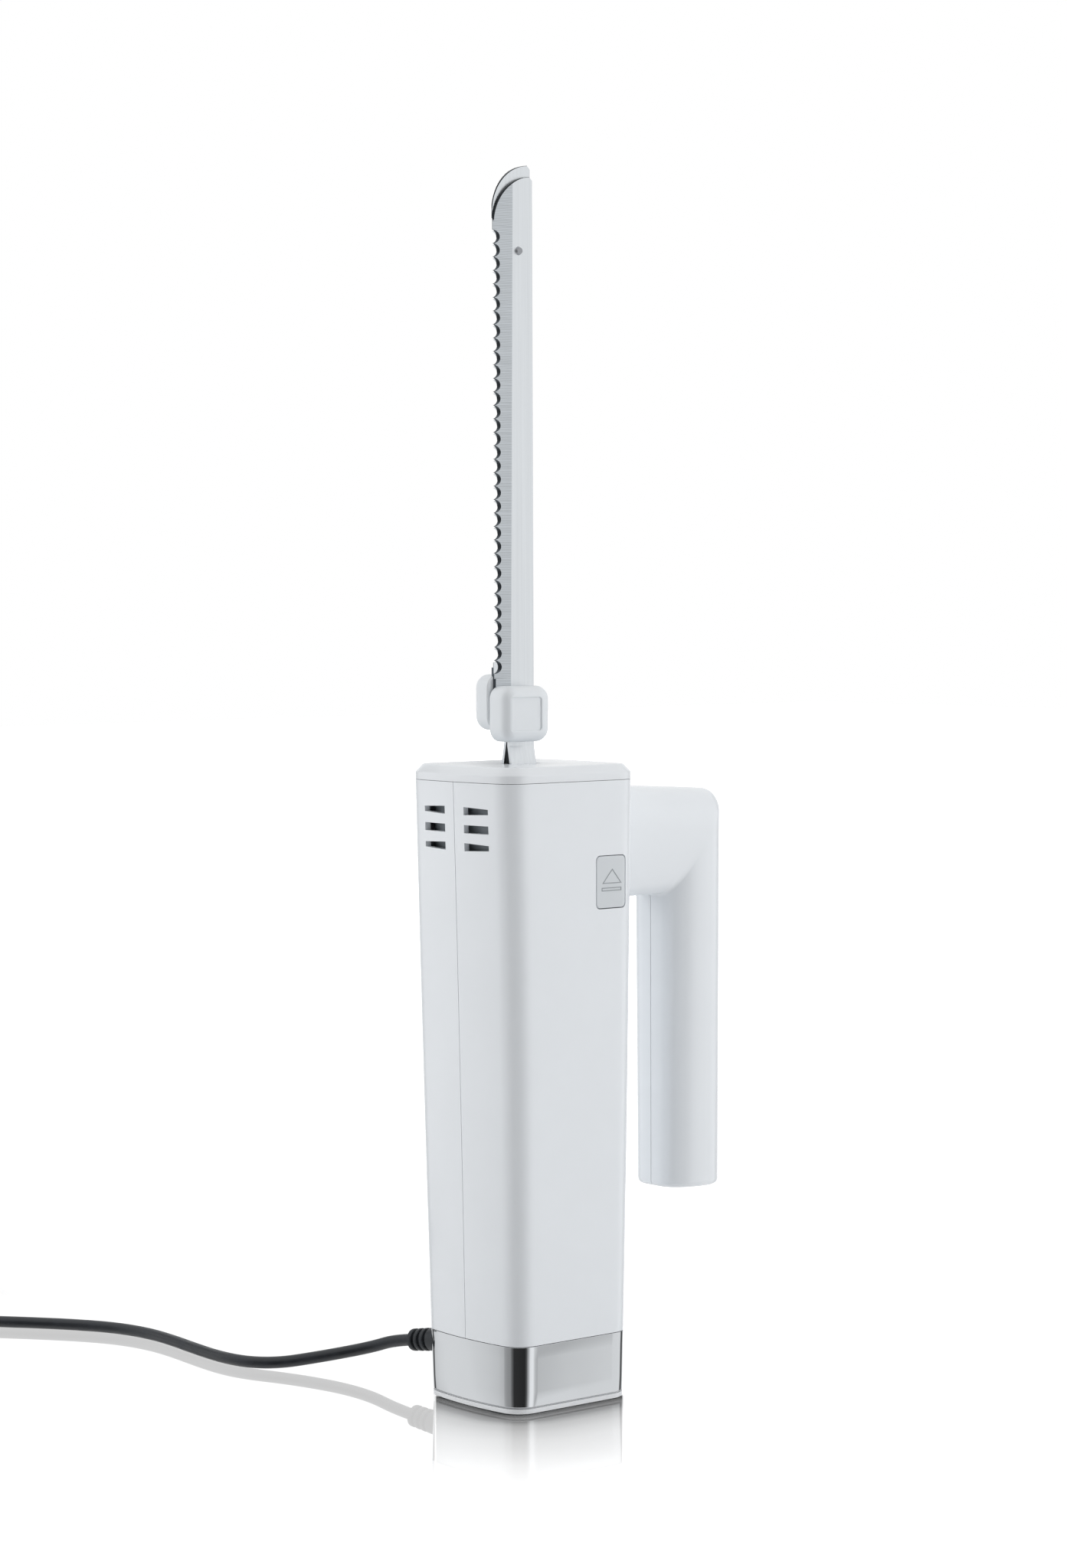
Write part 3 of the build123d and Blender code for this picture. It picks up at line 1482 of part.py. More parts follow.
def guard(side, rise):
    """A soft pad on the blade's outer face with a shallow recessed panel."""
    middle = (guard_left_x + guard_width / 2, 0, guard_bottom_z + guard_height / 2 + rise)
    plane = Plane(origin=middle, x_dir=(-side, 0, 0), z_dir=(0, side, 0))
    with BuildPart() as piece:
        with BuildSketch(plane.offset(blade_face_y)):
            RectangleRounded(guard_width, guard_height, guard_corner)
        extrude(amount=guard_outer_y - blade_face_y)
        fillet(piece.faces().sort_by(Axis.Y)[0 if side < 0 else -1].edges(), guard_edge)
        with BuildSketch(plane.offset(guard_outer_y - guard_panel_depth)):
            with Locations((-side * (guard_panel_x - middle[0]), 0)):
                RectangleRounded(guard_panel_width, guard_panel_height, guard_panel_corner)
        extrude(amount=guard_edge, mode=Mode.SUBTRACT)
    return piece


save(guard(-1, 0), "guard_front")
save(guard(1, blade_rise), "guard_rear")
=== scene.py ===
# %% [markdown]
# # An electric carving knife, standing on its foot
# The knife stands upright with its two blades up, and its cord runs off over a white floor.
# This script dresses a measured model of it: every piece that shows is a smooth surface worked
# out from a formula, and every piece inside gets a finish made of nodes.
# The first cell loads the measured model. Its solids are in metres and share one frame: Z up,
# the cutting edges towards -X, the grip towards +X, the front broad side towards -Y.

# %% Load the measured knife
import math

import bmesh
import bpy
import numpy as np
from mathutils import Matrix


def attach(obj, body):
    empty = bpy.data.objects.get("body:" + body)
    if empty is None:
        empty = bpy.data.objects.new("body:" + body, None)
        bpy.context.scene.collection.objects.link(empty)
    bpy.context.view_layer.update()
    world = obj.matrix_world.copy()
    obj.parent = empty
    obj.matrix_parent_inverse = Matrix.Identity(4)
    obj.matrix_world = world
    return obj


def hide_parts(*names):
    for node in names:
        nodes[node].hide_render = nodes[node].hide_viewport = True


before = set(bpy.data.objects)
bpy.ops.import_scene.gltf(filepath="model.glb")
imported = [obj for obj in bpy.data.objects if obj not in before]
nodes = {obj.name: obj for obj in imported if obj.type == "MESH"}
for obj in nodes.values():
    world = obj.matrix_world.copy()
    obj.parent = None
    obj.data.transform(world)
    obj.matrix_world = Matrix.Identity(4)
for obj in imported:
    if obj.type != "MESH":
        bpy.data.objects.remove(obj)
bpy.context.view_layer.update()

# %% [markdown]
# ## The camera
# The photograph was taken from slightly above, looking across the corner between the seam side
# and the broad side. A long lens (about 85 mm) keeps the sides of the body nearly parallel.
# The camera's place and its two axes are written as numbers, because they were solved from the
# edges of the body, and a matrix made from the axes needs no angles.

# %% Camera
MM = 0.001
SENSOR, FOCAL_PIXELS, PICTURE_HEIGHT = 36, 4808.2, 2048


def show(name, data):
    """A new object with that mesh, curve, lamp or camera, put into the scene."""
    made = bpy.data.objects.new(name, data)
    bpy.context.scene.collection.objects.link(made)
    return made


eye = np.array([-873.26, -1051.98, 301.0]) * MM
look = np.array([0.63947, 0.76701, -0.05255])
above = np.array([0.0362, 0.0382, 0.9986])
look /= np.linalg.norm(look)
aside = np.cross(look, above)
aside /= np.linalg.norm(aside)
above = np.cross(aside, look)
view = np.eye(4)
view[:3, 0], view[:3, 1], view[:3, 2], view[:3, 3] = aside, above, -look, eye
lens = bpy.data.cameras.new("camera")
lens.sensor_width = SENSOR
lens.lens = FOCAL_PIXELS * SENSOR / PICTURE_HEIGHT
lens.clip_end = 50
camera = show("camera", lens)
camera.matrix_world = view.T.tolist()
bpy.context.scene.camera = camera
bpy.context.scene.view_settings.view_transform = "Standard"
print("lens", round(lens.lens, 2), "mm")

# %% [markdown]
# ## Tools for finishes
# A finish on a real thing is never one flat value: moulded plastic has a faint ripple from the
# mould, steel has brush lines, rubber is dusty. Each finish below is a Principled shader whose
# colour, roughness and bump come from noise or waves laid out in the object's own coordinates,
# so that they stay on the piece when it moves. These helpers keep the node wiring short.

# %% Node helpers
def add_node(tree, kind, settings=None, **links):
    """A node of that kind. settings holds its properties, and links its inputs: a socket joins
    the input, and a number or a tuple becomes the input's own value."""
    made = tree.nodes.new(kind)
    for key, value in (settings or {}).items():
        setattr(made, key, value)
    for key, value in links.items():
        place = int(key[1:]) if key[0] == "_" else key.replace("_", " ")
        if isinstance(value, bpy.types.NodeSocket):
            tree.links.new(value, made.inputs[place])
        else:
            made.inputs[place].default_value = value
    return made


def calculate(tree, operation, first, second=0.0):
    """One step of arithmetic on the value of each shaded point."""
    return add_node(tree, "ShaderNodeMath", {"operation": operation}, _0=first, _1=second).outputs[0]


def times(tree, first, *others):
    """The product of all the values."""
    for other in others:
        first = calculate(tree, "MULTIPLY", first, other)
    return first


def rest_of(tree, share):
    """What a share leaves of one: 1 - share."""
    return calculate(tree, "SUBTRACT", 1.0, share)


def vector_step(tree, operation, *inputs, output="Vector"):
    """One step of arithmetic on vectors."""
    links = {f"_{k}": value for k, value in enumerate(inputs)}
    return add_node(tree, "ShaderNodeVectorMath", {"operation": operation}, **links).outputs[output]


def measure(tree, operation, *inputs):
    """A step on vectors that gives a number, such as a length."""
    return vector_step(tree, operation, *inputs, output="Value")


def xyz(tree, vector):
    """The three coordinates of a vector."""
    return add_node(tree, "ShaderNodeSeparateXYZ", None, Vector=vector).outputs


def stretch(tree, value, low, high, start=0.0, stop=1.0, smooth=False):
    """The value carried over from low..high to start..stop, held at the ends."""
    kind = {"interpolation_type": "SMOOTHSTEP" if smooth else "LINEAR"}
    links = {"_0": value, "_1": low, "_2": high, "_3": start, "_4": stop}
    return add_node(tree, "ShaderNodeMapRange", kind, **links).outputs[0]


def blend_colours(tree, share, first, second):
    """The first colour where share is 0 and the second where it is 1."""
    mix = add_node(tree, "ShaderNodeMix", {"data_type": "RGBA"}, _0=share, _6=first, _7=second)
    return mix.outputs[2]


def grain(tree, place, size, detail=2.0, squash=(1.0, 1.0, 1.0)):
    """Noise whose blotches are about size metres across, longer where squash is below 1."""
    spread = add_node(tree, "ShaderNodeMapping", None, Vector=place, Scale=squash).outputs[0]
    return add_node(tree, "ShaderNodeTexNoise", None, Vector=spread, Scale=1 / size, Detail=detail).outputs[0]


def shade(colour, factor=1.0):
    """The colour times the factor, with the fourth value that a socket needs."""
    return tuple(value * factor for value in colour) + (1,)


def new_finish(name, colour, metallic=0.0, roughness=0.3, coat=0.0):
    """A Principled shader with even settings, ready for its patterns."""
    material = bpy.data.materials.new(name)
    material.use_nodes = True
    tree = material.node_tree
    shader = tree.nodes["Principled BSDF"]
    even = {"Base Color": shade(colour), "Metallic": metallic, "Roughness": roughness, "Coat Weight": coat}
    for socket, value in even.items():
        shader.inputs[socket].default_value = value
    place = add_node(tree, "ShaderNodeTexCoord").outputs["Object"]
    material.diffuse_color = shade(colour)
    return material, tree, shader, place


def even_waves(tree, place, run, scale, distortion):
    """Smooth bands along the axis run."""
    kind = {"wave_type": "BANDS", "bands_direction": run}
    links = {"Vector": place, "Scale": scale, "Distortion": distortion, "Detail": 1.0}
    return add_node(tree, "ShaderNodeTexWave", kind, **links).outputs["Fac"]


def bump(tree, shader, height, strength, depth):
    """Lets height push the shaded surface in and out by depth metres."""
    relief = add_node(tree, "ShaderNodeBump", None, Height=height, Strength=strength, Distance=depth)
    tree.links.new(relief.outputs[0], shader.inputs["Normal"])


def pattern(tree, shader, colour, share, darker, rough_low, rough_high, strength, height, depth):
    """Joins one pattern to colour, roughness and bump: the colour darkens by the factor darker
    where share is 1, roughness runs between its two values, and height pushes the surface in and
    out by depth metres."""
    tone = blend_colours(tree, share, shade(colour), shade(colour, darker))
    tree.links.new(tone, shader.inputs["Base Color"])
    tree.links.new(stretch(tree, share, 0, 1, rough_low, rough_high), shader.inputs["Roughness"])
    bump(tree, shader, height, strength, depth)


# %% [markdown]
# ## Moulded plastics
# The housing is glossy white moulded plastic. Seen close, such a surface carries a very shallow
# ripple from the mould and a few finger marks that only change its gloss. The guards and keys
# come from sparked moulds, so they are duller, with a fine grain.

# %% Plastic finishes
def moulded_plastic(name, colour, roughness, ripple, coat=0.0):
    """Plastic with broad gloss patches of about 25 mm and a ripple of the given size."""
    material, tree, shader, place = new_finish(name, colour, 0.0, roughness, coat)
    patches = stretch(tree, grain(tree, place, 0.025), 0.35, 0.65, 0, 1, True)
    waves = grain(tree, place, ripple, 2.0)
    pattern(tree, shader, colour, patches, 0.99, roughness - 0.015, roughness + 0.02, 0.08, waves, 0.00001)
    return material


shell_white = moulded_plastic("housing_white", (0.80, 0.828, 0.858), 0.24, 0.0012, 0.25)
cap_white = moulded_plastic("cap_white", (0.79, 0.815, 0.842), 0.25, 0.0012, 0.2)
foot_white = moulded_plastic("foot_white", (0.81, 0.825, 0.845), 0.3, 0.0012)
guard_white = moulded_plastic("guard_white", (0.78, 0.81, 0.835), 0.38, 0.0009)
key_grey = moulded_plastic("key_grey", (0.64, 0.67, 0.695), 0.36, 0.0008)
# The sign's darker grey is painted shade along its raised line.
sign_painted_shade = moulded_plastic("sign_painted_shade", (0.34, 0.365, 0.385), 0.4, 0.0008)
baffle_grey = moulded_plastic("baffle_grey", (0.33, 0.36, 0.39), 0.5, 0.0008)
switch_grey = moulded_plastic("switch_grey", (0.16, 0.17, 0.18), 0.5, 0.0007)
frame_grey = moulded_plastic("frame_grey", (0.33, 0.34, 0.35), 0.5, 0.001)
nylon_cream = moulded_plastic("nylon_cream", (0.78, 0.74, 0.62), 0.45, 0.0012)
print("plastics made")

# %% [markdown]
# ## Black rubber and the cord's jacket
# Rubber scatters light in a broad soft sheen, and dust makes it a little lighter in patches.

# %% Rubber finishes
def dull_rubber(name, colour, roughness, grit):
    """Matt black with dusty patches of 6 mm and a fine grit."""
    material, tree, shader, place = new_finish(name, colour, 0.0, roughness)
    dust = stretch(tree, grain(tree, place, 0.006, 4.0), 0.4, 0.7, 1, 0, True)
    pattern(tree, shader, tuple(v * 1.35 for v in colour), dust, 0.7, roughness + 0.08, roughness - 0.05,
            0.3, grain(tree, place, grit, 2.0), 0.00008)
    return material


relief_black = dull_rubber("relief_black", (0.016, 0.019, 0.023), 0.52, 0.0005)
cord_black = dull_rubber("cord_black", (0.018, 0.021, 0.026), 0.42, 0.0006)
plug_black = dull_rubber("plug_black", (0.017, 0.019, 0.022), 0.5, 0.0005)

# %% [markdown]
# ## Metals
# Metals differ in how they were worked. The band is polished and only has a breath of haze. The
# blades are ground: fine lines run along the flat, and coarser ones cross the bevel. Sheet-steel
# parts, wire and brass each get a finish of their own kind.

# %% Metal finishes
def polished_metal(name, colour, roughness):
    """Mirror-like metal with haze patches and hairline marks that run round the knife."""
    material, tree, shader, place = new_finish(name, colour, 1.0, roughness)
    hairs = grain(tree, place, 0.0012, 3.0, (0.02, 0.02, 1.0))
    haze = stretch(tree, grain(tree, place, 0.02), 0.35, 0.65, 0, 1, True)
    pattern(tree, shader, colour, haze, 0.985, roughness, roughness + 0.025, 0.05, hairs, 0.00001)
    return material


def worked_metal(name, colour, roughness, size, run=(1.0, 1.0, 1.0), darker=0.86, strength=0.3):
    """Metal with marks of that size, drawn out along the axis whose run is small."""
    material, tree, shader, place = new_finish(name, colour, 1.0, roughness)
    marks = grain(tree, place, size, 4.0, run)
    pattern(tree, shader, colour, stretch(tree, marks, 0.3, 0.7, 0, 1), darker,
            roughness - 0.05, roughness + 0.08, strength, marks, 0.00003)
    return material


band_metal = polished_metal("band_metal", (0.655, 0.67, 0.685), 0.045)
screw_steel = worked_metal("screw_steel", (0.60, 0.61, 0.62), 0.3, 0.0005)
shaft_steel = worked_metal("shaft_steel", (0.56, 0.57, 0.58), 0.24, 0.0006, (1, 1, 0.05))
rivet_steel = worked_metal("rivet_steel", (0.40, 0.41, 0.43), 0.2, 0.0005)
spring_steel = worked_metal("spring_steel", (0.45, 0.46, 0.48), 0.32, 0.0004)
brass = worked_metal("brass", (0.72, 0.55, 0.26), 0.3, 0.0008)
pin_metal = worked_metal("pin_metal", (0.68, 0.69, 0.68), 0.22, 0.0008, (0.1, 0.1, 1))
bearing_bronze = worked_metal("bearing_bronze", (0.55, 0.40, 0.25), 0.4, 0.0004)
foil_silver = worked_metal("foil_silver", (0.62, 0.60, 0.55), 0.35, 0.0015)
print("metals made")

# %% [markdown]
# ## Blade steel
# On the blade two finishes meet at the grinding line: above it the plate is brushed along its
# length, below it the bevel is ground straight across, a line every millimetre or so. The
# grinding line is nearly straight, so the height of a point gives the line's X, and the
# sign of the distance to it picks the finish. The hollow-ground gullets and the edge round the
# tip face sideways (their normals have little Y), and painted shade darkens them there, with a
# thin painted dark line along the tip's circle.

# %% Blade finish
TIP_CENTRE, TIP_RADIUS = (0.002939, 0.434993), 0.018256
HEEL_Z, TIP_Z, EDGE_X = 0.26, 0.436, -0.0098
GRIND_LOW, GRIND_HIGH = (-0.0079, 0.2684), (-0.0063, 0.445)
PLATE_STEEL, GROUND_STEEL = (0.80, 0.825, 0.845), (0.60, 0.63, 0.655)
# The two dark colours below are painted shade: for the gullets, and for the rim and line round the tip.
GULLET_PAINTED_SHADE, TIP_PAINTED_SHADE = (0.115, 0.13, 0.145, 1), (0.03, 0.034, 0.038, 1)
LINE_PITCH = 0.00062


def bevel_share(tree, axes, facing, side, rise):
    """1 on the ground bevel of the blade's outer side, and 0 elsewhere. The grinding line runs
    from GRIND_LOW to GRIND_HIGH (X and Z), and the bevel ends above the heel."""
    line = stretch(tree, axes[2], GRIND_LOW[1] + rise, GRIND_HIGH[1] + rise, GRIND_LOW[0], GRIND_HIGH[0])
    past_line = calculate(tree, "SUBTRACT", axes[0], line)
    flat_part = stretch(tree, past_line, -0.00012, 0.00012)
    above_heel = stretch(tree, axes[2], HEEL_Z + rise, HEEL_Z + 0.0012 + rise)
    outer_side = stretch(tree, times(tree, facing[1], side), 0.3, 0.6)
    return times(tree, rest_of(tree, flat_part), above_heel, outer_side)


def painted_shade_share(tree, place, axes, facing, near_tip, rise, tip_line):
    """1 where painted shade darkens the steel: in the gullets and round the tip, on faces that look
    sideways, and in a painted dark line along the tip's circle, whose width grows to tip_line metres at the
    edge."""
    sideways = stretch(tree, calculate(tree, "ABSOLUTE", facing[1]), 0.95, 0.9)
    near_edge = stretch(tree, axes[0], EDGE_X, EDGE_X - 0.0006)
    towards_edge = stretch(tree, facing[0], 0.5, 0.2)
    on_rim = times(tree, sideways, calculate(tree, "MAXIMUM", near_edge, near_tip), towards_edge)
    centre = (-TIP_CENTRE[0], 0, -TIP_CENTRE[1] - rise)
    from_centre = vector_step(tree, "MULTIPLY_ADD", place, (1, 0, 1), centre)
    inside = calculate(tree, "SUBTRACT", TIP_RADIUS, measure(tree, "LENGTH", from_centre))
    width = stretch(tree, axes[0], -0.0145, -0.001, tip_line, 0.00015)
    strip = stretch(tree, calculate(tree, "DIVIDE", inside, width), 1.15, 0.85)
    return calculate(tree, "MAXIMUM", on_rim, times(tree, strip, near_tip))


def blade_steel(name, side, rise, tip_line):
    """Brushed plate with a cross-ground bevel on its outer side, for a blade that stands rise
    metres higher, and painted shade at its edge."""
    material, tree, shader, place = new_finish(name, PLATE_STEEL, 1.0, 0.3)
    axes = xyz(tree, place)
    facing = xyz(tree, add_node(tree, "ShaderNodeTexCoord").outputs["Normal"])
    on_bevel = bevel_share(tree, axes, facing, side, rise)
    brush = grain(tree, place, 0.0009, 3.0, (1, 1, 0.012))
    cross = grain(tree, place, 0.0007, 2.0, (0.02, 0.02, 1))
    even_lines = even_waves(tree, place, "Z", math.pi / 10 / LINE_PITCH, 0.6)
    lines = calculate(tree, "ADD", times(tree, cross, 0.6), times(tree, even_lines, 0.4))
    brushed, ground = stretch(tree, brush, 0.3, 0.7), stretch(tree, lines, 0.38, 0.62)
    plate_tone = blend_colours(tree, brushed, shade(PLATE_STEEL), shade(PLATE_STEEL, 0.94))
    bevel_tone = blend_colours(tree, ground, shade(GROUND_STEEL, 0.84), shade(GROUND_STEEL, 1.1))
    steel = blend_colours(tree, on_bevel, plate_tone, bevel_tone)
    near_tip = stretch(tree, axes[2], TIP_Z + rise, TIP_Z + 0.0008 + rise)
    painted_shade_tone = blend_colours(tree, near_tip, GULLET_PAINTED_SHADE, TIP_PAINTED_SHADE)
    dark = painted_shade_share(tree, place, axes, facing, near_tip, rise, tip_line)
    tree.links.new(blend_colours(tree, dark, steel, painted_shade_tone), shader.inputs["Base Color"])
    rough = calculate(tree, "ADD", stretch(tree, on_bevel, 0, 1, 0.32, 0.42), times(tree, brush, 0.06))
    tree.links.new(rough, shader.inputs["Roughness"])
    height = add_node(tree, "ShaderNodeMix", None, _0=on_bevel, _2=brush, _3=lines).outputs[0]
    bump(tree, shader, height, 0.25, 0.00003)
    return material


blade_front_steel = blade_steel("blade_front_steel", -1, 0.0, 0.0008)
blade_rear_steel = blade_steel("blade_rear_steel", 1, 0.0042, 0.0003)

# %% [markdown]
# ## Finishes of the drive inside
# The motor shows how it is built even through a vent: a stack of thin sheets reads as fine
# horizontal lines, a winding as close copper strands, a commutator as bars with dark slits.

# %% Drive finishes
def sheet_stack(name):
    """Steel sheets 0.7 mm thick, as lines across Z: a sawtooth of the height."""
    material, tree, shader, place = new_finish(name, (0.32, 0.33, 0.35), 1.0, 0.45)
    tooth = calculate(tree, "FRACT", times(tree, xyz(tree, place)[2], 1 / 0.0007))
    edge = stretch(tree, tooth, 0.75, 1.0)
    pattern(tree, shader, (0.36, 0.37, 0.39), edge, 0.35, 0.38, 0.6, 0.6, rest_of(tree, edge), 0.0001)
    return material


def copper_winding(name, run):
    """Enamelled wire 0.5 mm thick: a round wave across the winding, darker in the grooves between strands,
    which is painted shade.
    """
    colour = (0.62, 0.26, 0.10)
    material, tree, shader, place = new_finish(name, colour, 0.85, 0.3)
    strands = even_waves(tree, place, run, 630.0, 1.2)
    # The colour darkens in the grooves between the strands: painted shade.
    pattern(tree, shader, colour, rest_of(tree, strands), 0.45, 0.24, 0.45, 0.8, strands, 0.00015)
    return material


laminations = sheet_stack("laminations")
field_copper = copper_winding("field_copper", "Y")
armature_copper = copper_winding("armature_copper", "DIAGONAL")
commutator_copper = worked_metal("commutator_copper", (0.66, 0.36, 0.2), 0.3, 0.0005, (1, 1, 0.02), 0.6, 0.5)
contact_brass = worked_metal("contact_brass", (0.7, 0.56, 0.3), 0.32, 0.0007)
carbon_block = dull_rubber("carbon_block", (0.03, 0.03, 0.032), 0.6, 0.0003)
print(len(bpy.data.materials), "finishes")

# %% [markdown]
# ## Tools for surfaces
# Each new piece is a net of points. Neighbouring rows and columns of points are joined by
# four-sided faces, so a formula that gives the points of a whole net at once is all a piece
# needs. Doubled points are merged, which closes poles and seams, and faces are turned outwards.

# %% Surface helpers
def net_faces(rows, columns, ring=False, loop=False):
    """Faces between neighbouring points of a net numbered row by row. ring joins the last column
    to the first, and loop joins the last row to the first."""
    row = np.arange(rows if loop else rows - 1)[:, None]
    column = np.arange(columns if ring else columns - 1)[None, :]
    row_on = (row + 1) % rows
    column_on = (column + 1) % columns
    corners = (row * columns + column, row * columns + column_on,
               row_on * columns + column_on, row_on * columns + column)
    return np.stack(np.broadcast_arrays(*corners), -1).reshape(-1, 4)


def joined(rings, loop=False):
    """The points and faces of rings that are joined one to the next."""
    return np.vstack(rings), net_faces(len(rings), len(rings[0]), ring=True, loop=loop)


def make_piece(name, points, faces, material, body, slot, stands_for=(), crease=40, wall=None, lip=None):
    """A mesh object from points in millimetres. With a wall it is an open skin that gets that
    thickness inwards, and lip rounds its rims."""
    mesh = bpy.data.meshes.new(name)
    mesh.from_pydata((np.asarray(points, float) * MM).tolist(), [], np.asarray(faces).tolist())
    work = bmesh.new()
    work.from_mesh(mesh)
    bmesh.ops.remove_doubles(work, verts=work.verts, dist=2e-6)
    if not wall:
        bmesh.ops.recalc_face_normals(work, faces=work.faces)
    work.to_mesh(mesh)
    work.free()
    mesh.shade_smooth()
    mesh.set_sharp_from_angle(angle=math.radians(crease))
    piece = show(name, mesh)
    mesh.materials.append(material)
    if wall:
        thick = piece.modifiers.new("wall", "SOLIDIFY")
        thick.thickness = wall * MM
        thick.offset = -1
        thick.use_even_offset = True
    if lip:
        soft = piece.modifiers.new("lip", "BEVEL")
        soft.width = lip * MM
        soft.segments = 2
        soft.limit_method = "ANGLE"
        soft.angle_limit = math.radians(50)
        soft.harden_normals = True
    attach(piece, body)
    if stands_for:
        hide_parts(*stands_for)
    print(name, len(mesh.polygons), "faces")
    return piece


def soft_ring(x_half, y_half, radius, per_side=8, per_corner=9):
    """Points round a rectangle with round corners, anticlockwise from the middle of +X. Rings
    with the same counts can be joined corner to corner, whatever their sizes."""
    turn = np.linspace(0, np.pi / 2, per_corner)
    corner = np.stack([np.cos(turn), np.sin(turn)], -1) * radius
    quarter_turn = np.array([[0, 1], [-1, 0]])
    signs = np.array([(1, 1), (-1, 1), (-1, -1), (1, -1)])
    arcs = []
    for sign in signs:
        arcs.append(corner + sign * (x_half - radius, y_half - radius))
        corner = corner @ quarter_turn
    share = np.linspace(0, 1, per_side + 1)[1:-1, None]
    sides = [a[-1] + (b[0] - a[-1]) * share for a, b in zip(arcs, arcs[1:] + arcs[:1])]
    return np.vstack([part for pair in zip(arcs, sides) for part in pair])


def nearest_on_soft_rectangle(points, centre, half, radius):
    """The point of a round-cornered rectangle nearest to each outside point: clip the point to the
    rectangle of the corner centres, then go out from there by the radius."""
    core = np.array(half) - radius
    inside = np.clip(points - centre, -core, core)
    out = points - centre - inside
    return centre + inside + radius * out / np.linalg.norm(out, axis=-1, keepdims=True)


# %% [markdown]
# ## The plan of the body
# Seen from above, the body is a rectangle whose two narrow sides bow outwards, with round
# corners, and it grows slowly towards the top. One function gives a quarter of that plan: a flat
# part, a corner arc tangent to it, and the long shallow arc of the bowed side.

# %% Body plan
SEAM_Z = 231
BOW = 2.8


def half_width(z):
    """Half the body's width: it grows from 58.8 to 66.4 mm, and is a little less in between."""
    share = z / SEAM_Z
    return (58.8 + 7.6 * share - 2.8 * share * (1 - share)) / 2


def half_depth(z):
    """Half the body's depth: it grows from 54.2 to 60.8 mm, and is a little more in between."""
    share = z / SEAM_Z
    return (54.2 + 6.6 * share + 7.2 * share * (1 - share)) / 2


def middle_x(z):
    """The body leans by 1.3 mm towards -X on its way up."""
    return -1.3 * z / SEAM_Z


def quarter(z, inset=0.0):
    """The plan's measures at height z: half width and depth, corner radius, side arc's radius and
    centre, the corner's centre, and the angle at which corner and side arc meet."""
    wide, deep = half_width(z) - inset, half_depth(z) - inset
    corner = 8.7 + 0.9 * z / SEAM_Z - inset
    bow = (deep ** 2 + BOW ** 2) / (2 * BOW)
    centre = wide - bow
    up = deep - corner
    along = centre + np.sqrt((bow - corner) ** 2 - up ** 2)
    return deep, corner, bow, centre, along, up, np.arctan2(up, along - centre)


def plan_point(u, z, side, inset=0.0):
    """The point at u on the half plan on that side (-1 or 1) at height z. |u| runs 0 to 1 along
    the flat, 1 to 2 round the corner and 2 to 3 along the bowed side, and its sign is X's."""
    u, z = np.broadcast_arrays(np.asarray(u, float), np.asarray(z, float))
    deep, corner, bow, centre, along, up, meet = quarter(z, inset)
    t = np.abs(u)
    turn = np.pi / 2 + (meet - np.pi / 2) * np.clip(t - 1, 0, 1)
    swing = meet * (3 - np.clip(t, 2, 3))
    parts = [t < 1, t < 2]
    x = np.select(parts, [along * t, along + corner * np.cos(turn)], centre + bow * np.cos(swing))
    y = np.select(parts, [deep, up + corner * np.sin(turn)], bow * np.sin(swing))
    return np.stack([middle_x(z) + np.sign(u) * x, side * y, z], -1)


def plan_u(x, z):
    """The u at which the plan on the broad side has that X, the inverse of plan_point."""
    deep, corner, bow, centre, along, up, meet = quarter(z)
    off = np.abs(x - middle_x(z))
    turn = np.arccos(np.clip((off - along) / corner, 0, 1))
    past = 1 + (np.pi / 2 - turn) / (np.pi / 2 - meet)
    return np.sign(x - middle_x(z)) * np.where(off <= along, off / along, past)


U_FLAT = np.linspace(-1, 1, 25)
U_ROUND = np.concatenate([np.linspace(-3, -2, 9)[:-1], np.linspace(-2, -1, 13)[:-1], U_FLAT,
                          np.linspace(1, 2, 13)[1:], np.linspace(2, 3, 9)[1:]])


def plan_ring(z, inset=0.0):
    """The whole plan at one height as a ring of points."""
    return np.vstack([plan_point(U_ROUND, z, -1, inset), plan_point(U_ROUND[::-1][1:-1], z, 1, inset)])


print("body", round(2 * half_width(SEAM_Z), 1), "by", round(2 * half_depth(SEAM_Z), 1), "mm at the cap")

# %% [markdown]
# ## Openings in a skin
# A window cut in a curved skin must keep the skin's curve right up to its edge. So the cells of
# the net inside a frame round the window are left out, and rings of faces lead from the frame to
# the window's outline. The outline's points are the ones nearest to the frame's, found on the
# flat drawing of the skin, and then put back on the curve.

# %% Skins with windows
RING_SHARES = (0.4, 0.75, 0.93, 1.0)


def nearest_line(lines, value):
    """The number of the line nearest to the value."""
    return int(np.argmin(np.abs(np.asarray(lines) - value)))


def lines_at(lines, first, last):
    """The numbers of the lines nearest to two values."""
    return nearest_line(lines, first), nearest_line(lines, last)


def frame_path(block, open_side):
    """Rows and columns of the net's points round a block of cells. With open_side the path
    leaves out the side at the block's first column."""
    r0, r1, c0, c1 = block
    down, across = np.arange(r0, r1), np.arange(c0, c1)
    row = [np.full(len(across), r0), down, np.full(len(across), r1), down[::-1] + 1]
    column = [across, np.full(len(down), c1), across[::-1] + 1, np.full(len(down), c0)]
    if open_side:
        row, column = row[:3] + [[r1]], column[:3] + [[c0]]
    return np.concatenate(row), np.concatenate(column)


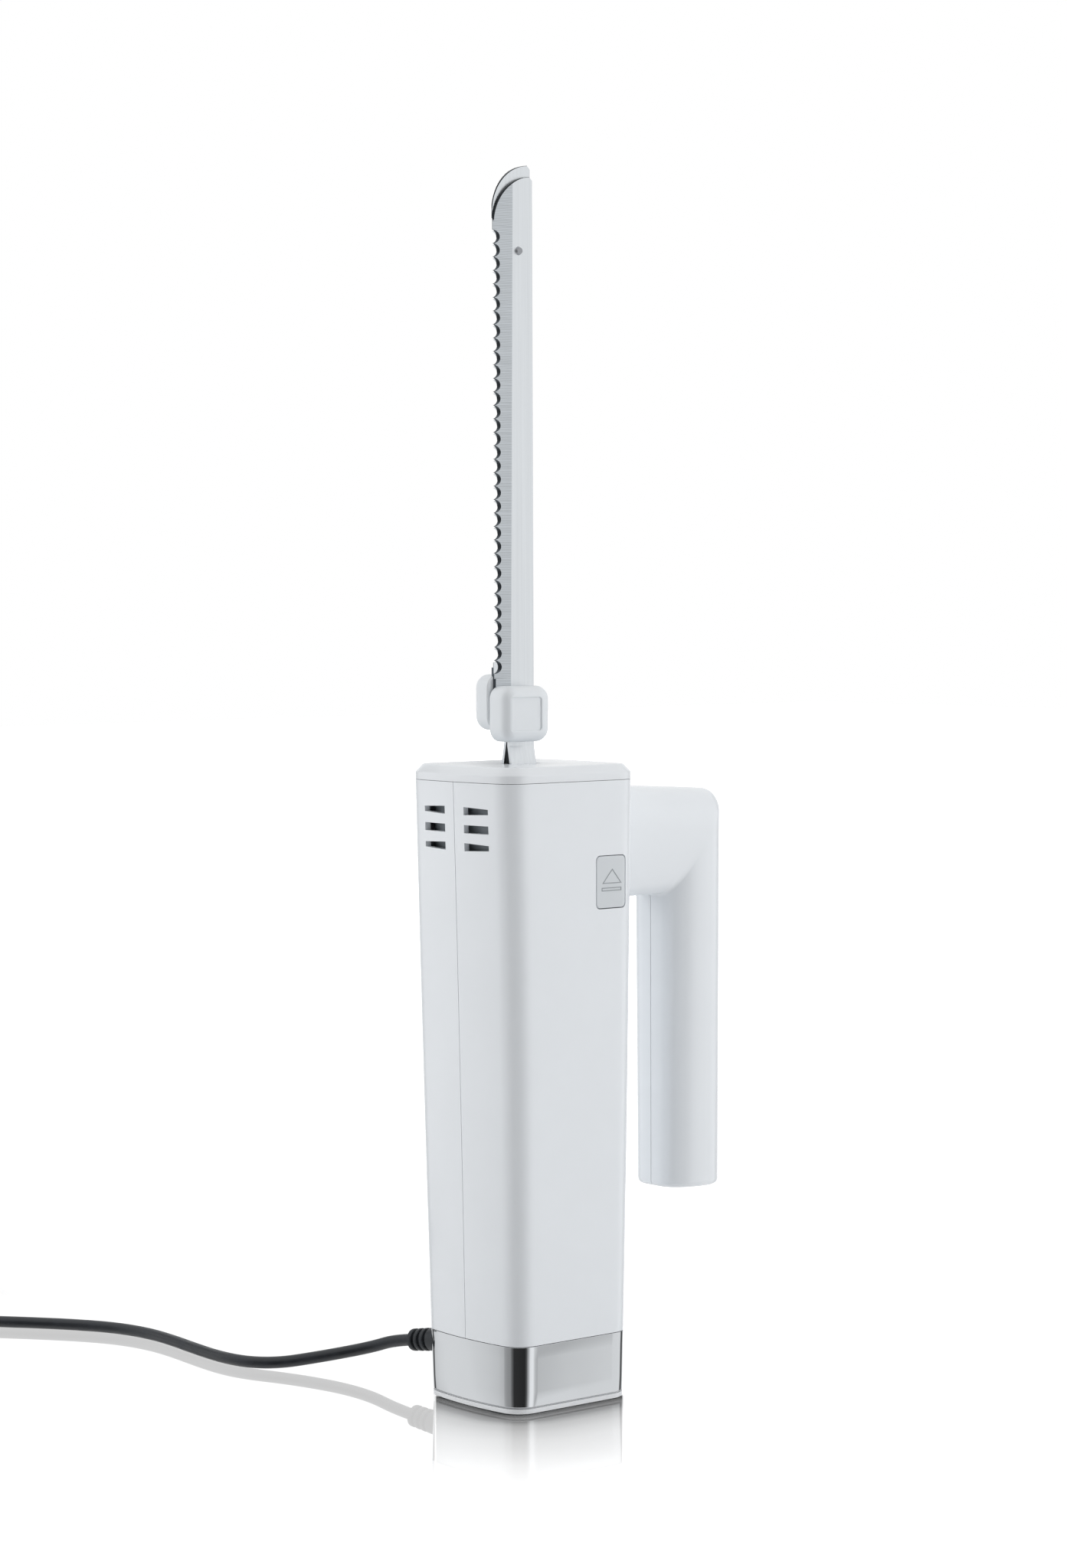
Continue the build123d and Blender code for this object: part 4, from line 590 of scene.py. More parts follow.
def pierced_skin(place, u, v, gaps=(), windows=()):
    """A net over u and v (both rows by columns). gaps are blocks of cells left out, and each
    window is (block, flatten, unflatten, centre, half sizes, radius, open_side)."""
    rows, columns = u.shape
    keep = np.ones((rows - 1, columns - 1), bool)
    for r0, r1, c0, c1 in list(gaps) + [window[0] for window in windows]:
        keep[r0:r1, c0:c1] = False
    points = [place(u, v).reshape(-1, 3)]
    faces = [net_faces(rows, columns)[keep.ravel()]]
    count = rows * columns
    for block, flatten, unflatten, centre, half, radius, open_side in windows:
        row, column = frame_path(block, open_side)
        before = row * columns + column
        rim = np.stack(flatten(u[row, column], v[row, column]), -1)
        edge = nearest_on_soft_rectangle(rim, np.array(centre), half, radius)
        for share in RING_SHARES:
            mixed = rim + (edge - rim) * share
            points.append(place(*unflatten(mixed[:, 0], mixed[:, 1])))
            now = count + np.arange(len(before))
            count += len(now)
            ring = np.stack([before, np.roll(before, -1), np.roll(now, -1), now], -1)
            faces.append(ring[:-1] if open_side else ring)
            before = now
    return np.vstack(points), np.vstack(faces)


# %% [markdown]
# ## The housing
# The housing is moulded in two halves that meet on a line down both narrow sides. Each half
# carries three vents beside the seam, the window for its release button, and half of the grip.
# The two are made as skins and given a wall, as the moulding has, so that the vents and the
# seam show real edges.

# %% Lines of the body's net
SCREWS = [(-20.0, 64.0), (-19.5, 152.0), (-19.5, 199.0), (16.5, 223.5)]
SCREW_HOLE = 3.1
SEAM_GAP = 0.13
VENT_LOW_Z, VENT_HEIGHT, VENT_NARROWING = (205.9, 212.5, 219.1), 3.0, 0.525
VENT_NEAR, VENT_FAR = 5.5, 18.5
VENT_EDGES = [z for low in VENT_LOW_Z for z in (low, low + VENT_HEIGHT)]
KEY_MIDDLE, KEY_WINDOW, KEY_RADIUS = (15.6, 193.55), (7.4, 9.9), 2.0


def lines_between(start, *stretches):
    """Values from start through each stretch's stop, in steps of about its given length."""
    values = [start]
    for stop, step in stretches:
        values += list(np.linspace(values[-1], stop, max(1, round(abs(stop - values[-1]) / step)) + 1)[1:])
    return np.array(values)


def side_u(y):
    """u on the bowed side at that distance from the seam, at the middle vent's height."""
    deep, corner, bow, centre, along, up, meet = quarter(VENT_LOW_Z[1] + VENT_HEIGHT / 2)
    return 3 - np.arcsin(y / bow) / meet


Z_LINES = lines_between(25.0, (58.0, 3.3), (60.4, 1.2), (67.6, 0.7), (70.0, 1.2), (146.0, 4.2), (148.4, 1.2),
                        (155.6, 0.7), (158.0, 1.2), (181.5, 3.3), (VENT_EDGES[0], 0.55),
                        *zip(VENT_EDGES[1:], (1.0, 1.2, 1.0, 1.2, 1.0)), (229.4, 1.2), (SEAM_Z, 0.5))
EDGE_U = -np.concatenate([side_u(np.array([SEAM_GAP, 1.8, 3.6])), side_u(np.linspace(VENT_NEAR, VENT_FAR, 9)),
                          np.linspace(side_u(VENT_FAR), 2, 5)[1:]])
GRIP_U = np.linspace(2, side_u(SEAM_GAP), 10)[1:]
print(len(Z_LINES), "lines across the body")

# %% [markdown]
# The upper and the lower vent narrow away from the seam. The lines of the net above and below
# them are bent by the same amount, so that the cells between them are exactly the vents, and
# leaving those cells out opens them.

# %% Body skin
def body_skin(side):
    """Half the body as a net over u and Z, with its vents and windows."""
    coarse = [(-13.5, 0.75), (6.2, 3.0)] if side > 0 else [(6.2, 2.2)]
    turning = plan_u(lines_between(-26.5, *coarse, (25.0, 0.6)), 190.0)
    u_line = np.concatenate([EDGE_U, np.linspace(-2, turning[0], 8)[1:-1], turning,
                             np.linspace(turning[-1], 2, 9)[1:], GRIP_U])
    u, z = np.meshgrid(u_line, Z_LINES)
    tilt = np.interp(z, [203, *VENT_EDGES, 225], [0, 1, -1, 0, 0, 1, -1, 0])
    near, far = -side_u(VENT_NEAR), -side_u(VENT_FAR)
    z = z + tilt * np.interp(u_line, [near, far, -2, -1.4], [0, VENT_NARROWING, VENT_NARROWING, 0])
    across = lines_at(u_line, near, far)
    vents = [(*lines_at(Z_LINES, low, low + VENT_HEIGHT), *across) for low in VENT_LOW_Z]
    holes = [(KEY_MIDDLE, KEY_WINDOW, KEY_RADIUS, 1.25)]
    if side > 0:
        holes += [(spot, (SCREW_HOLE, SCREW_HOLE), SCREW_HOLE - 0.0001, 1.2) for spot in SCREWS]
    windows = []
    for (x, height), half, radius, margin in holes:
        x_line = plan_point(u_line, height, side)[:, 0]
        wide, tall = half[0] + margin, half[1] + margin
        block = (*lines_at(Z_LINES, height - tall, height + tall), *lines_at(x_line, x - wide, x + wide))
        windows.append((block, lambda a, b: (plan_point(a, b, side)[..., 0], b),
                        lambda a, b: (plan_u(a, b), b), (x, height), half, radius, False))
    return pierced_skin(lambda a, b: plan_point(a, b, side), u, z, vents, windows)


# %% [markdown]
# The grip leaves the body as a level arm and turns down at a mitre. Every line along it runs
# from the body to the mitre and on to the end of the grip, and its corner is rounded by an arc:
# tight above the finger gap and wide at the outer corner. That one rule makes the soft crease
# on the flank and the round elbow.

# %% The grip's section and its lines
GRIP_X, GRIP_WIDE, GRIP_DEEP, GRIP_DEEP_LOW = 75.6, 13.6, 16.2, 14.7
ARM_Z, ARM_TALL, ARM_START = 204.8, 19.8, 30.0
ROOT_X, ROOT_Z, ROOT_TALL = 20.0, 206.775, 21.775
GRIP_FOOT, FOOT_EDGE, FOOT_DEEP = 72.0, 2.0, 14.72
GRIP_LOW = GRIP_FOOT + FOOT_EDGE
INNER_FLAT, OUTER_FLAT, FLANK_START, FLANK_STOP = 0.33, 0.24, 0.08, 0.25
TIGHT_LEG, LEG_GROWTH, ARC_WEIGHT = 1.5, 3.6, 1.414
GRIP_SCREW_Z = 92.0
POWER_WINDOW = (0.0, 171.0), (5.8, 13.3), 3.0
LOCK_WINDOW = (0.0, 198.5), (2.3, 4.3), 0.4


def soft_half(t):
    """Half of the grip's section, as shares of its half width and half depth, from the middle of
    its inner side (t = 0) to the middle of its outer side (t = 5): flat, ellipse, flat, ellipse, flat.
    The inner ellipse is the larger one, and the flank between them is short."""
    t = np.asarray(t, float)
    turn = np.pi / 2 * np.clip(t - 1, 0, 1)
    back = np.pi / 2 * np.clip(t - 3, 0, 1)
    wide = np.select([t < 2, t <= 3], [FLANK_START - (1 + FLANK_START) * np.cos(turn),
                                       FLANK_START + (FLANK_STOP - FLANK_START) * (t - 2)],
                     FLANK_STOP + (1 - FLANK_STOP) * np.sin(back))
    deep = np.select([t < 1, t <= 3, t <= 4],
                     [INNER_FLAT * t, INNER_FLAT + (1 - INNER_FLAT) * np.sin(turn),
                      OUTER_FLAT + (1 - OUTER_FLAT) * np.cos(back)], OUTER_FLAT * (5 - t))
    return wide, deep


T_LINES = np.concatenate([np.linspace(5, 4, 6), np.linspace(4, 3, 17)[1:], np.linspace(3, 2, 7)[1:],
                          np.linspace(2, 1, 15)[1:], np.linspace(1, 0, 6)[1:]])
OUTER_LINES = T_LINES[:20]
GRIP_Z = lines_between(215.4, (205.4, 2.0), (203.0, 0.8), (190.0, 0.8), (154.6, 1.2), (100.0, 4.0),
                       (98.0, 1.2), (86.0, 0.75), (GRIP_LOW, 2.0))
GRIP_SHARE = (GRIP_Z[0] - GRIP_Z) / (GRIP_Z[0] - GRIP_LOW)
PER_T = 400
TABLE_T = np.linspace(0, 5, 5 * PER_T + 1)
TABLE_WIDE, TABLE_DEEP = soft_half(TABLE_T)
# The table's width only grows from t = 1 to 4, and its depth only falls from t = 3.5 to 5.
GROWING, FALLING = slice(PER_T, 4 * PER_T + 1), slice(7 * PER_T // 2, None)
print(len(T_LINES), "lines along half the grip")


# %% The grip's path
def one_way(vectors):
    """The vectors, each made one unit long."""
    return vectors / np.linalg.norm(vectors, axis=-1, keepdims=True)


def grip_path(t):
    """For each t, the start on the body side, the mitre, the end, and the length of the arc's legs."""
    wide, deep = soft_half(t)
    grip_x = GRIP_X + GRIP_WIDE * wide
    mitre = np.stack([grip_x, GRIP_DEEP * deep, ARM_Z + ARM_TALL * wide], -1)
    root = np.stack([np.full_like(wide, ROOT_X), GRIP_DEEP * deep, ROOT_Z + ROOT_TALL * wide], -1)
    foot = np.stack([grip_x, GRIP_DEEP_LOW * deep, np.full_like(wide, GRIP_FOOT)], -1)
    cut = (ARM_START - ROOT_X) / (mitre[..., :1] - ROOT_X)
    leg = TIGHT_LEG + LEG_GROWTH * ((wide + 1) / 2) ** 4
    return root + (mitre - root) * cut, mitre, foot, leg[..., None]


def grip_place(t, s):
    """A point of the grip: s from 0 to 1 along the arm, 1 to 2 round the corner's arc, 2 to 3 down
    the grip to GRIP_LOW. The arc from A by the mitre M to B is (A(1-q)^2 + Mwq(1-q) + Bq^2) over
    the sum of its weights, where w is ARC_WEIGHT."""
    t, s = np.broadcast_arrays(np.asarray(t, float), np.asarray(s, float))
    root, mitre, foot, leg = grip_path(t)
    start, stop = mitre + one_way(root - mitre) * leg, mitre + one_way(foot - mitre) * leg
    end = mitre + (foot - mitre) * ((mitre[..., 2:] - GRIP_LOW) / (mitre[..., 2:] - GRIP_FOOT))
    s = s[..., None]
    q = np.clip(s - 1, 0, 1)
    weights = (1 - q) ** 2, ARC_WEIGHT * q * (1 - q), q ** 2
    arc = (start * weights[0] + mitre * weights[1] + stop * weights[2]) / sum(weights)
    arm = root + (start - root) * np.clip(s, 0, 1)
    grip = stop + (end - stop) * np.clip(s - 2, 0, 1)
    point = np.where(s <= 1, arm, np.where(s <= 2, arc, grip))
    point[..., 1] = np.maximum(point[..., 1], SEAM_GAP)
    return point


def grip_s(t, z):
    """s at which the line t of the grip reaches height z."""
    root, mitre, foot, leg = grip_path(t)
    top = (mitre + one_way(foot - mitre) * leg)[..., 2]
    return 2 + (top - z) / (top - GRIP_LOW)


def from_outer_side(y, z):
    """t and s of the grip's outer side at that Y and Z, by four rounds of looking up t."""
    t = np.full_like(y, 4.5)
    for _ in range(4):
        corner_z = ARM_Z + ARM_TALL * soft_half(t)[0]
        deep = GRIP_DEEP - (GRIP_DEEP - GRIP_DEEP_LOW) * (corner_z - z) / (corner_z - GRIP_FOOT)
        t = np.interp(-y / deep, -TABLE_DEEP[FALLING], TABLE_T[FALLING])
    return t, grip_s(t, z)


def from_flank(x, z):
    """t and s of the grip's flank at that X and Z."""
    t = np.interp((x - GRIP_X) / GRIP_WIDE, TABLE_WIDE[GROWING], TABLE_T[GROWING])
    return t, grip_s(t, z)


# %% Grip skin
def grip_windows(side, s_line):
    """The half windows of the power key and its lock, and on the +Y side the screw's hole."""
    outer_z = grip_place(np.full_like(s_line, 5.0), s_line)[:, 2]
    flank_z = grip_place(np.full_like(s_line, 2.5), s_line)[:, 2]
    windows = []
    for middle, half, radius in (POWER_WINDOW, LOCK_WINDOW):
        column = nearest_line(grip_place(OUTER_LINES, 2.5)[:, 1], half[0] + 0.9)
        tall = half[1] + 1.0
        block = (*lines_at(outer_z, middle[1] + tall, middle[1] - tall), 0, column)
        windows.append((block, lambda a, b: np.moveaxis(grip_place(a, b)[..., 1:], -1, 0), from_outer_side,
                        middle, half, radius, True))
    if side > 0:
        x_line = GRIP_X + GRIP_WIDE * soft_half(T_LINES)[0]
        block = (*lines_at(flank_z, GRIP_SCREW_Z + 4.3, GRIP_SCREW_Z - 4.3),
                 *lines_at(x_line, GRIP_X + 4.4, GRIP_X - 4.4))
        windows.append((block, lambda a, b: np.moveaxis(grip_place(a, b)[..., ::2], -1, 0), from_flank,
                        (GRIP_X, GRIP_SCREW_Z), (SCREW_HOLE, SCREW_HOLE), SCREW_HOLE - 0.0001, False))
    return windows


def grip_end():
    """The rounded end of the half grip: six rings round the edge, and three across the flat."""
    wide, deep = soft_half(T_LINES)
    turn = np.linspace(0, np.pi / 2, 6)[:, None]
    inset = FOOT_EDGE * (1 - np.cos(turn))
    rim = np.stack([GRIP_X + (GRIP_WIDE - inset) * wide, (FOOT_DEEP - inset) * deep,
                    GRIP_LOW - FOOT_EDGE * np.sin(turn) + 0 * wide], -1)
    share = np.array([0.7, 0.35, 0.0])[:, None]
    flat = np.stack([GRIP_X + (GRIP_WIDE - FOOT_EDGE) * share * wide, (FOOT_DEEP - FOOT_EDGE) * share * deep,
                     GRIP_FOOT + 0 * share * wide], -1)
    end = np.concatenate([rim, flat]).reshape(-1, 3)
    end[:, 1] = np.maximum(end[:, 1], SEAM_GAP)
    return end


def grip_skin(side):
    """Half the arm and grip as a net over t and s, with its windows and its rounded end."""
    s_line = np.concatenate([np.linspace(0, 1, 9), np.linspace(1, 2, 12)[1:], 2 + GRIP_SHARE[1:]])
    t, s = np.meshgrid(T_LINES, s_line)
    points, faces = pierced_skin(grip_place, t, s, (), grip_windows(side, s_line))
    faces = np.vstack([faces, net_faces(9, len(T_LINES)) + len(points)])
    return np.vstack([points, grip_end()]) * (1, side, 1), faces


# %% Housing halves
def facing_out(points, faces):
    """The faces, all turned round if the net as a whole faces its own middle."""
    a, b, c, d = (points[faces[:, k]] for k in range(4))
    normal = np.cross(c - a, d - b)
    outward = ((a + b + c + d) / 4 - points.mean(0)) * normal
    return faces if outward.sum() > 0 else faces[:, ::-1]


def housing_half(name, side, node):
    """The half body and the half grip as one skin, with a wall inwards and softened rims."""
    body, body_faces = body_skin(side)
    grip, grip_faces = grip_skin(side)
    faces = [facing_out(body, body_faces), facing_out(grip, grip_faces) + len(body)]
    make_piece(name, np.vstack([body, grip]), np.vstack(faces), shell_white, "housing", "shell", [node],
               wall=2.3, lip=0.14)


housing_half("housing_left", -1, "left_shell")
housing_half("housing_right", 1, "right_shell")

# %% [markdown]
# Behind the vents stands a thin grey baffle that keeps crumbs out of the gears. It follows the
# curve of the side a few millimetres in, and what light comes through the slots falls on it.

# %% Baffle behind the vents
BAFFLE_INSET = 4.6
baffle_u = np.linspace(-2.1, -3, 10)
baffle_z = np.linspace(203.5, 226.0, 6)[:, None]
halves = [plan_point(baffle_u, baffle_z, -1, BAFFLE_INSET),
          plan_point(baffle_u[::-1][1:], baffle_z, 1, BAFFLE_INSET)]
baffle = np.concatenate(halves, 1).reshape(-1, 3)
baffle_faces = facing_out(baffle, net_faces(6, 19))
make_piece("vent_baffle", baffle, baffle_faces, baffle_grey, "housing", "frame", wall=0.8)

# %% [markdown]
# ## Cap, band and foot
# These three are rings of the same plan. A profile says how far in and how high each ring of
# points lies, so an edge is rounded simply by a few rings close together. The cap's rings go on
# over its top to the slot for the tangs and down through it.

# %% Rings of the plan
def stack_of_rings(profile):
    """The plan's ring at each (height, inset) of the profile, one after the other."""
    return [plan_ring(z, inset) for z, inset in profile]


def round_edge(z, inset, radius, start, stop, steps=5):
    """(height, inset) round an edge whose arc has that centre, from one angle to another in
    degrees, where 0 points outwards and 90 up."""
    turn = np.radians(np.linspace(start, stop, steps))
    return [(z + radius * np.sin(a), inset - radius * np.cos(a)) for a in turn]


def ring_piece(name, rings, material, slot, node, loop=True):
    """A piece of the housing from rings of points, that stands for one solid."""
    make_piece(name, *joined(rings, loop), material, "housing", slot, [node], 50)


def shrunk(ring, *shares):
    """The ring drawn in towards the Z axis by each share."""
    return [ring * (share, share, 1) for share in shares]


# %% Cap
SLOT_MIDDLE, SLOT_FLAT = (-2.85, 0.0), (5.99, 3.25)
SLOT_PROFILE = [(1.75, 236.9), (1.2, 236.9), (1.03, 236.82), (0.95, 236.6), (0.95, 234.6)]

cap_profile = [(231.14, 3.9), (231.14, 0.6)] + round_edge(231.28, 0.14, 0.14, -90, 0, 4) + [(232.4, 0.0)]
cap_profile += round_edge(233.5, 1.1, 1.1, 0, 42, 6) + round_edge(235.5, 3.4, 1.4, 48, 90, 7)
cap_rings = stack_of_rings(cap_profile)
cap_top = cap_rings[-1]
slot_rings = []
for radius, z in SLOT_PROFILE:
    half = np.array(SLOT_FLAT) + radius
    rim = nearest_on_soft_rectangle(cap_top[:, :2], np.array(SLOT_MIDDLE), half, radius)
    slot_rings.append(np.column_stack([rim, np.full(len(rim), z)]))
way_in = (slot_rings[0] - cap_top) * (1, 1, 0)
cap_rings += [cap_top + way_in * share for share in (0.25, 0.5, 0.75)] + slot_rings + [plan_ring(234.0, 3.9)]
ring_piece("cap_dressed", cap_rings, cap_white, "cap", "top_cap")

# %% Band
band_profile = [(2.42, 1.8)] + round_edge(2.6, 0.18, 0.18, -90, 0, 4) + [(z, 0.0) for z in (8.0, 14.0, 20.0)]
band_profile += round_edge(24.62, 0.18, 0.18, 0, 90, 4) + [(24.8, 1.8)]
ring_piece("band_dressed", stack_of_rings(band_profile), band_metal, "band", "chrome_band")

# %% Foot
undercut = np.radians(np.linspace(-90, 0, 6))
foot_profile = [(0.2 + 0.2 * np.sin(a), 0.8 - 0.8 * np.cos(a)) for a in undercut]
foot_profile += round_edge(1.64, 0.15, 0.15, 0, 90, 5) + [(1.58, 0.55), (1.6, 1.1), (2.3, 1.3), (2.3, 3.0)]
foot_rings = stack_of_rings(foot_profile)
foot_rings = shrunk(foot_rings[0], 0.0, 0.33, 0.66) + foot_rings + shrunk(foot_rings[-1], 0.6, 0.3, 0.0)
ring_piece("foot_dressed", foot_rings, foot_white, "cap", "base_plate", loop=False)

# %% [markdown]
# ## The release keys
# A release key fills its window but for a thin dark gap, and follows the curve of the housing.
# It is made of rings that shrink from its outline to its middle line; the first rings roll over
# the edge. The eject sign is a raised line: a small round profile carried along a triangle and a bar, in a
# darker grey that is painted shade of that raised line.

# %% Keys
def face_depth(x, z):
    """How far the housing's broad side lies from the seam plane at that X and Z."""
    deep, corner, bow, centre, along, up, meet = quarter(z)
    past = np.clip(np.abs(x - middle_x(z)) - along, 0, corner)
    return up + np.sqrt(corner ** 2 - past ** 2)


def on_housing(flat, side, level):
    """Flat points (X, Z) laid on the housing's broad side, level above it."""
    return np.column_stack([flat[:, 0], side * (face_depth(flat[:, 0], flat[:, 1]) + level), flat[:, 1]])


def raised_line(corners, side, half=0.17, height=0.16):
    """A closed raised line through the corners. Each corner moves along its mitre by the profile's
    sideways share, and the profile is half an ellipse."""
    ahead = one_way(np.roll(corners, -1, 0) - corners)
    normal = np.stack([-ahead[:, 1], ahead[:, 0]], -1)
    before = np.roll(normal, 1, 0)
    mitre = (normal + before) / (1 + (normal * before).sum(1))[:, None]
    turn = np.linspace(0, np.pi, 7)
    step = np.linspace(0, 1, 9)[:-1, None, None]
    profile = np.stack([-half * np.cos(turn), height * np.sin(turn)], -1)
    profile = np.vstack([profile, [[half, -0.2], [-half, -0.2]]])
    runs = []
    for across, up in profile:
        moved = corners + mitre * across
        flat = (moved + (np.roll(moved, -1, 0) - moved) * step).transpose(1, 0, 2).reshape(-1, 2)
        runs.append(on_housing(flat, side, up))
    return joined(runs, loop=True)


KEY_HALF, KEY_EDGE, KEY_REACH_IN = (7.15, 9.65), 0.45, 2.4
SIGN_TRIANGLE = [(16.2, 198.2), (11.65, 193.1), (20.4, 193.1)]
SIGN_BAR = [(20.4, 190.35), (20.4, 191.35), (11.2, 191.35), (11.2, 190.35)]


def release_key(name, side, body, node):
    """A key on one broad side, with its sign. Its rings lie an inset in from the outline and a
    drop below the housing's face: down the flank, round the edge and over the face."""
    turn = np.radians([18, 36, 54, 72, 90])
    roll = KEY_EDGE * (1 - np.stack([np.cos(turn), np.sin(turn)], -1))
    depths = [(0.0, KEY_REACH_IN), (0.0, KEY_EDGE), *roll]
    depths += [(inset, 0.0) for inset in (1.0, 2.0, 3.4, 5.0, 6.4, 7.149)]
    rings = []
    for inset, drop in depths:
        flat = soft_ring(KEY_HALF[0] - inset, KEY_HALF[1] - inset, max(KEY_RADIUS - inset, 0.0005))
        rings.append(on_housing(flat + KEY_MIDDLE, side, -drop))
    middle = np.array([KEY_MIDDLE[0], 0, KEY_MIDDLE[1]])
    rings = [middle + (rings[0] - middle) * (share, 1, share) for share in (0.0, 0.5)] + rings
    make_piece(name, *joined(rings), key_grey, body, "key", [node])
    triangle, triangle_faces = raised_line(np.array(SIGN_TRIANGLE), side)
    bar, bar_faces = raised_line(np.array(SIGN_BAR), side)
    make_piece(name.replace("release_key", "eject_sign"), np.vstack([triangle, bar]),
               np.vstack([triangle_faces, bar_faces + len(triangle)]), sign_painted_shade, body, "key")


release_key("release_key_front", -1, "front_key", "release_button_front")
release_key("release_key_rear", 1, "rear_key", "release_button_rear")

# %% [markdown]
# ## Finger guards
# Each blade carries a soft white pad that keeps fingers off the edge. The pad is a block with
# wide round edges and a shallow panel pressed into its face.

# %% Guards
PAD_MIDDLE, PAD_HALF, PAD_CORNER = np.array([-6.8, 255.5]), np.array([11.0, 10.3]), 5.0
PAD_INNER, PAD_ROUND = 0.35, 3.7
PANEL_MIDDLE, PANEL_DEPTH = np.array([-8.0, 255.5]), 0.5


def pad_face(flat, outer):
    """The pad's face level at each point of its plan. It drops towards the outline as a quarter
    circle: drop = R - sqrt(R^2 - (R - d)^2), where d is the distance in from the outline."""
    off = np.abs(flat - PAD_MIDDLE) - (PAD_HALF - PAD_CORNER)
    d = PAD_CORNER - np.linalg.norm(np.maximum(off, 0), axis=1) - np.minimum(np.max(off, axis=1), 0)
    return outer - (PAD_ROUND - np.sqrt(PAD_ROUND ** 2 - np.clip(PAD_ROUND - d, 0, PAD_ROUND) ** 2))


def pad_ring(middle, half, radius, level):
    """A ring of the pad: X, depth and Z. level is one depth, or a function of the flat points."""
    flat = soft_ring(*half, radius, 10, 12) + middle
    depth = level(flat) if callable(level) else np.full(len(flat), level)
    return np.column_stack([flat[:, 0], depth, flat[:, 1]])


def guard_pad(name, side, outer, rise, body, node):
    """A pad on one blade, from its inner side round its edge to the sunk panel in its face."""
    def on_face(flat):
        return pad_face(flat, outer)

    rings = []
    for i in (10.29, 6.0, 2.0, 0.5):
        rings.append(pad_ring(PAD_MIDDLE, PAD_HALF - i, max(PAD_CORNER - i, 0.001), PAD_INNER))
    rings += [pad_ring(PAD_MIDDLE, PAD_HALF, PAD_CORNER, level) for level in (0.85, 2.6, 4.6)]
    for a in np.radians([0, 12, 24, 36, 48, 60, 71]):
        i = PAD_ROUND * (1 - np.cos(a))
        rings.append(pad_ring(PAD_MIDDLE, PAD_HALF - i, PAD_CORNER - i, outer - PAD_ROUND * (1 - np.sin(a))))
    rings.append(pad_ring(PANEL_MIDDLE, np.array([7.75, 6.6]), 1.6, on_face))
    for k, sunk in ((0, 0.0), (1, 0.03), (1.6, 0.12), (2.0, 0.4), (2.6, 0.49)):
        ring = pad_ring(PANEL_MIDDLE, np.array([7.45, 6.3]) - 0.1 * k, 1.3 - 0.1 * k, on_face)
        rings.append(ring - (0, sunk, 0))
    for i in (0.5, 1.2, 3.0, 5.0, 6.09):
        half = np.array([7.25, 6.1]) - i
        rings.append(pad_ring(PANEL_MIDDLE, half, max(1.04 - i, 0.001), outer - PANEL_DEPTH))
    points, faces = joined(rings)
    make_piece(name, points * (1, side, 1) + (0, 0, rise), faces, guard_white, body, "guard", [node])


guard_pad("guard_pad_front", -1, 10.4, 0.0, "front_blade", "guard_front")
guard_pad("guard_pad_rear", 1, 9.4, 4.2, "rear_blade", "guard_rear")

# %% [markdown]
# ## Strain relief
# Where the cord leaves the band, a rubber sleeve spreads its bend. It is turned about its own
# drooping axis: a profile of distance along and radius, with three grooves, carried round.

# %% Relief
turn, droop = math.radians(12), math.radians(8)
relief_way = np.array([-math.sin(turn) * math.cos(droop), math.cos(turn) * math.cos(droop), -math.sin(droop)])
relief_root = np.array([-10.0, float(half_depth(17.9)), 17.9])


def turned(profile, start, way, count=40):
    """The profile's (along, radius) pairs carried round the axis way from start."""
    beside = np.cross(way, [0, 0, 1.0])
    beside /= np.linalg.norm(beside)
    over = np.cross(beside, way)
    angle = np.linspace(0, 2 * np.pi, count, endpoint=False)
    spoke = np.cos(angle)[:, None] * beside + np.sin(angle)[:, None] * over
    along, radius = np.array(profile).T
    points = start + along[:, None, None] * way + radius[:, None, None] * spoke
    return points.reshape(-1, 3), net_faces(len(profile), count, ring=True)


RELIEF_LENGTH = 23.5
GROOVE_STARTS = (14.5, 17.4, 20.3)
GROOVE = [(-0.25, 0.0), (-0.06, 0.08), (0.04, 0.3), (0.12, 0.9),
          (1.18, 0.9), (1.26, 0.3), (1.36, 0.08), (1.55, 0.0)]
relief_profile = [(-1.2, 0.0), (-1.2, 4.75)]
for start in GROOVE_STARTS:
    full = 4.7 - 0.5 * start / RELIEF_LENGTH
    relief_profile += [(start + along, full - deep) for along, deep in GROOVE]
relief_profile += [(23.1, 4.21), (23.4, 4.1), (RELIEF_LENGTH, 3.85), (RELIEF_LENGTH, 2.4),
                   (22.5, 2.25), (22.5, 0.0)]
relief_points, relief_faces = turned(relief_profile, relief_root, relief_way)
relief = make_piece("relief_sleeve", relief_points, relief_faces, relief_black, "housing", "rubber",
                    ["strain_relief"], 50)

# %% [markdown]
# ## The cord
# A cord is one length of something springy, so it is one smooth curve: it leaves the sleeve
# straight, comes down to the floor and runs off in a loose bend. About 1.3 m is usual for such a
# knife, and what the picture doesn't show is wound into a small two-layer coil with the plug on
# the end. The route is a short list of points, and the curve is a NURBS of order 3.

# %% Cord route, in millimetres
FLOOR_Z, UPPER_Z = 2.3, 7.35
exit_point = relief_root + RELIEF_LENGTH * relief_way
route = [tuple(exit_point), tuple(exit_point + 9.5 * relief_way), (-20.5, 68.5, 9.9), (-27, 77.5, 7.2),
         (-36, 86, 4.9), (-46, 94.5, 2.9)]
on_floor = [(-53, 105.5), (-55.5, 120), (-54, 140), (-51.5, 160), (-51, 178), (-55, 196), (-64, 212),
            (-76, 228), (-88, 242), (-91.1, 253.6), (-89.4, 265.5), (-83.1, 275.7)]
route += [(x, y, FLOOR_Z) for x, y in on_floor]
entry = np.array(route[-1][:2])
ahead = entry - np.array(route[-2][:2])
ahead /= np.linalg.norm(ahead)
beside = np.array([-ahead[1], ahead[0]])
PITCH, OUTER, INNER, COIL_AHEAD = 5.05, 35.175, 20.025, 4.6
# A curve laid by points 15 degrees apart on a circle has this share of the circle's radius.
CURVE_SHARE = 0.9915


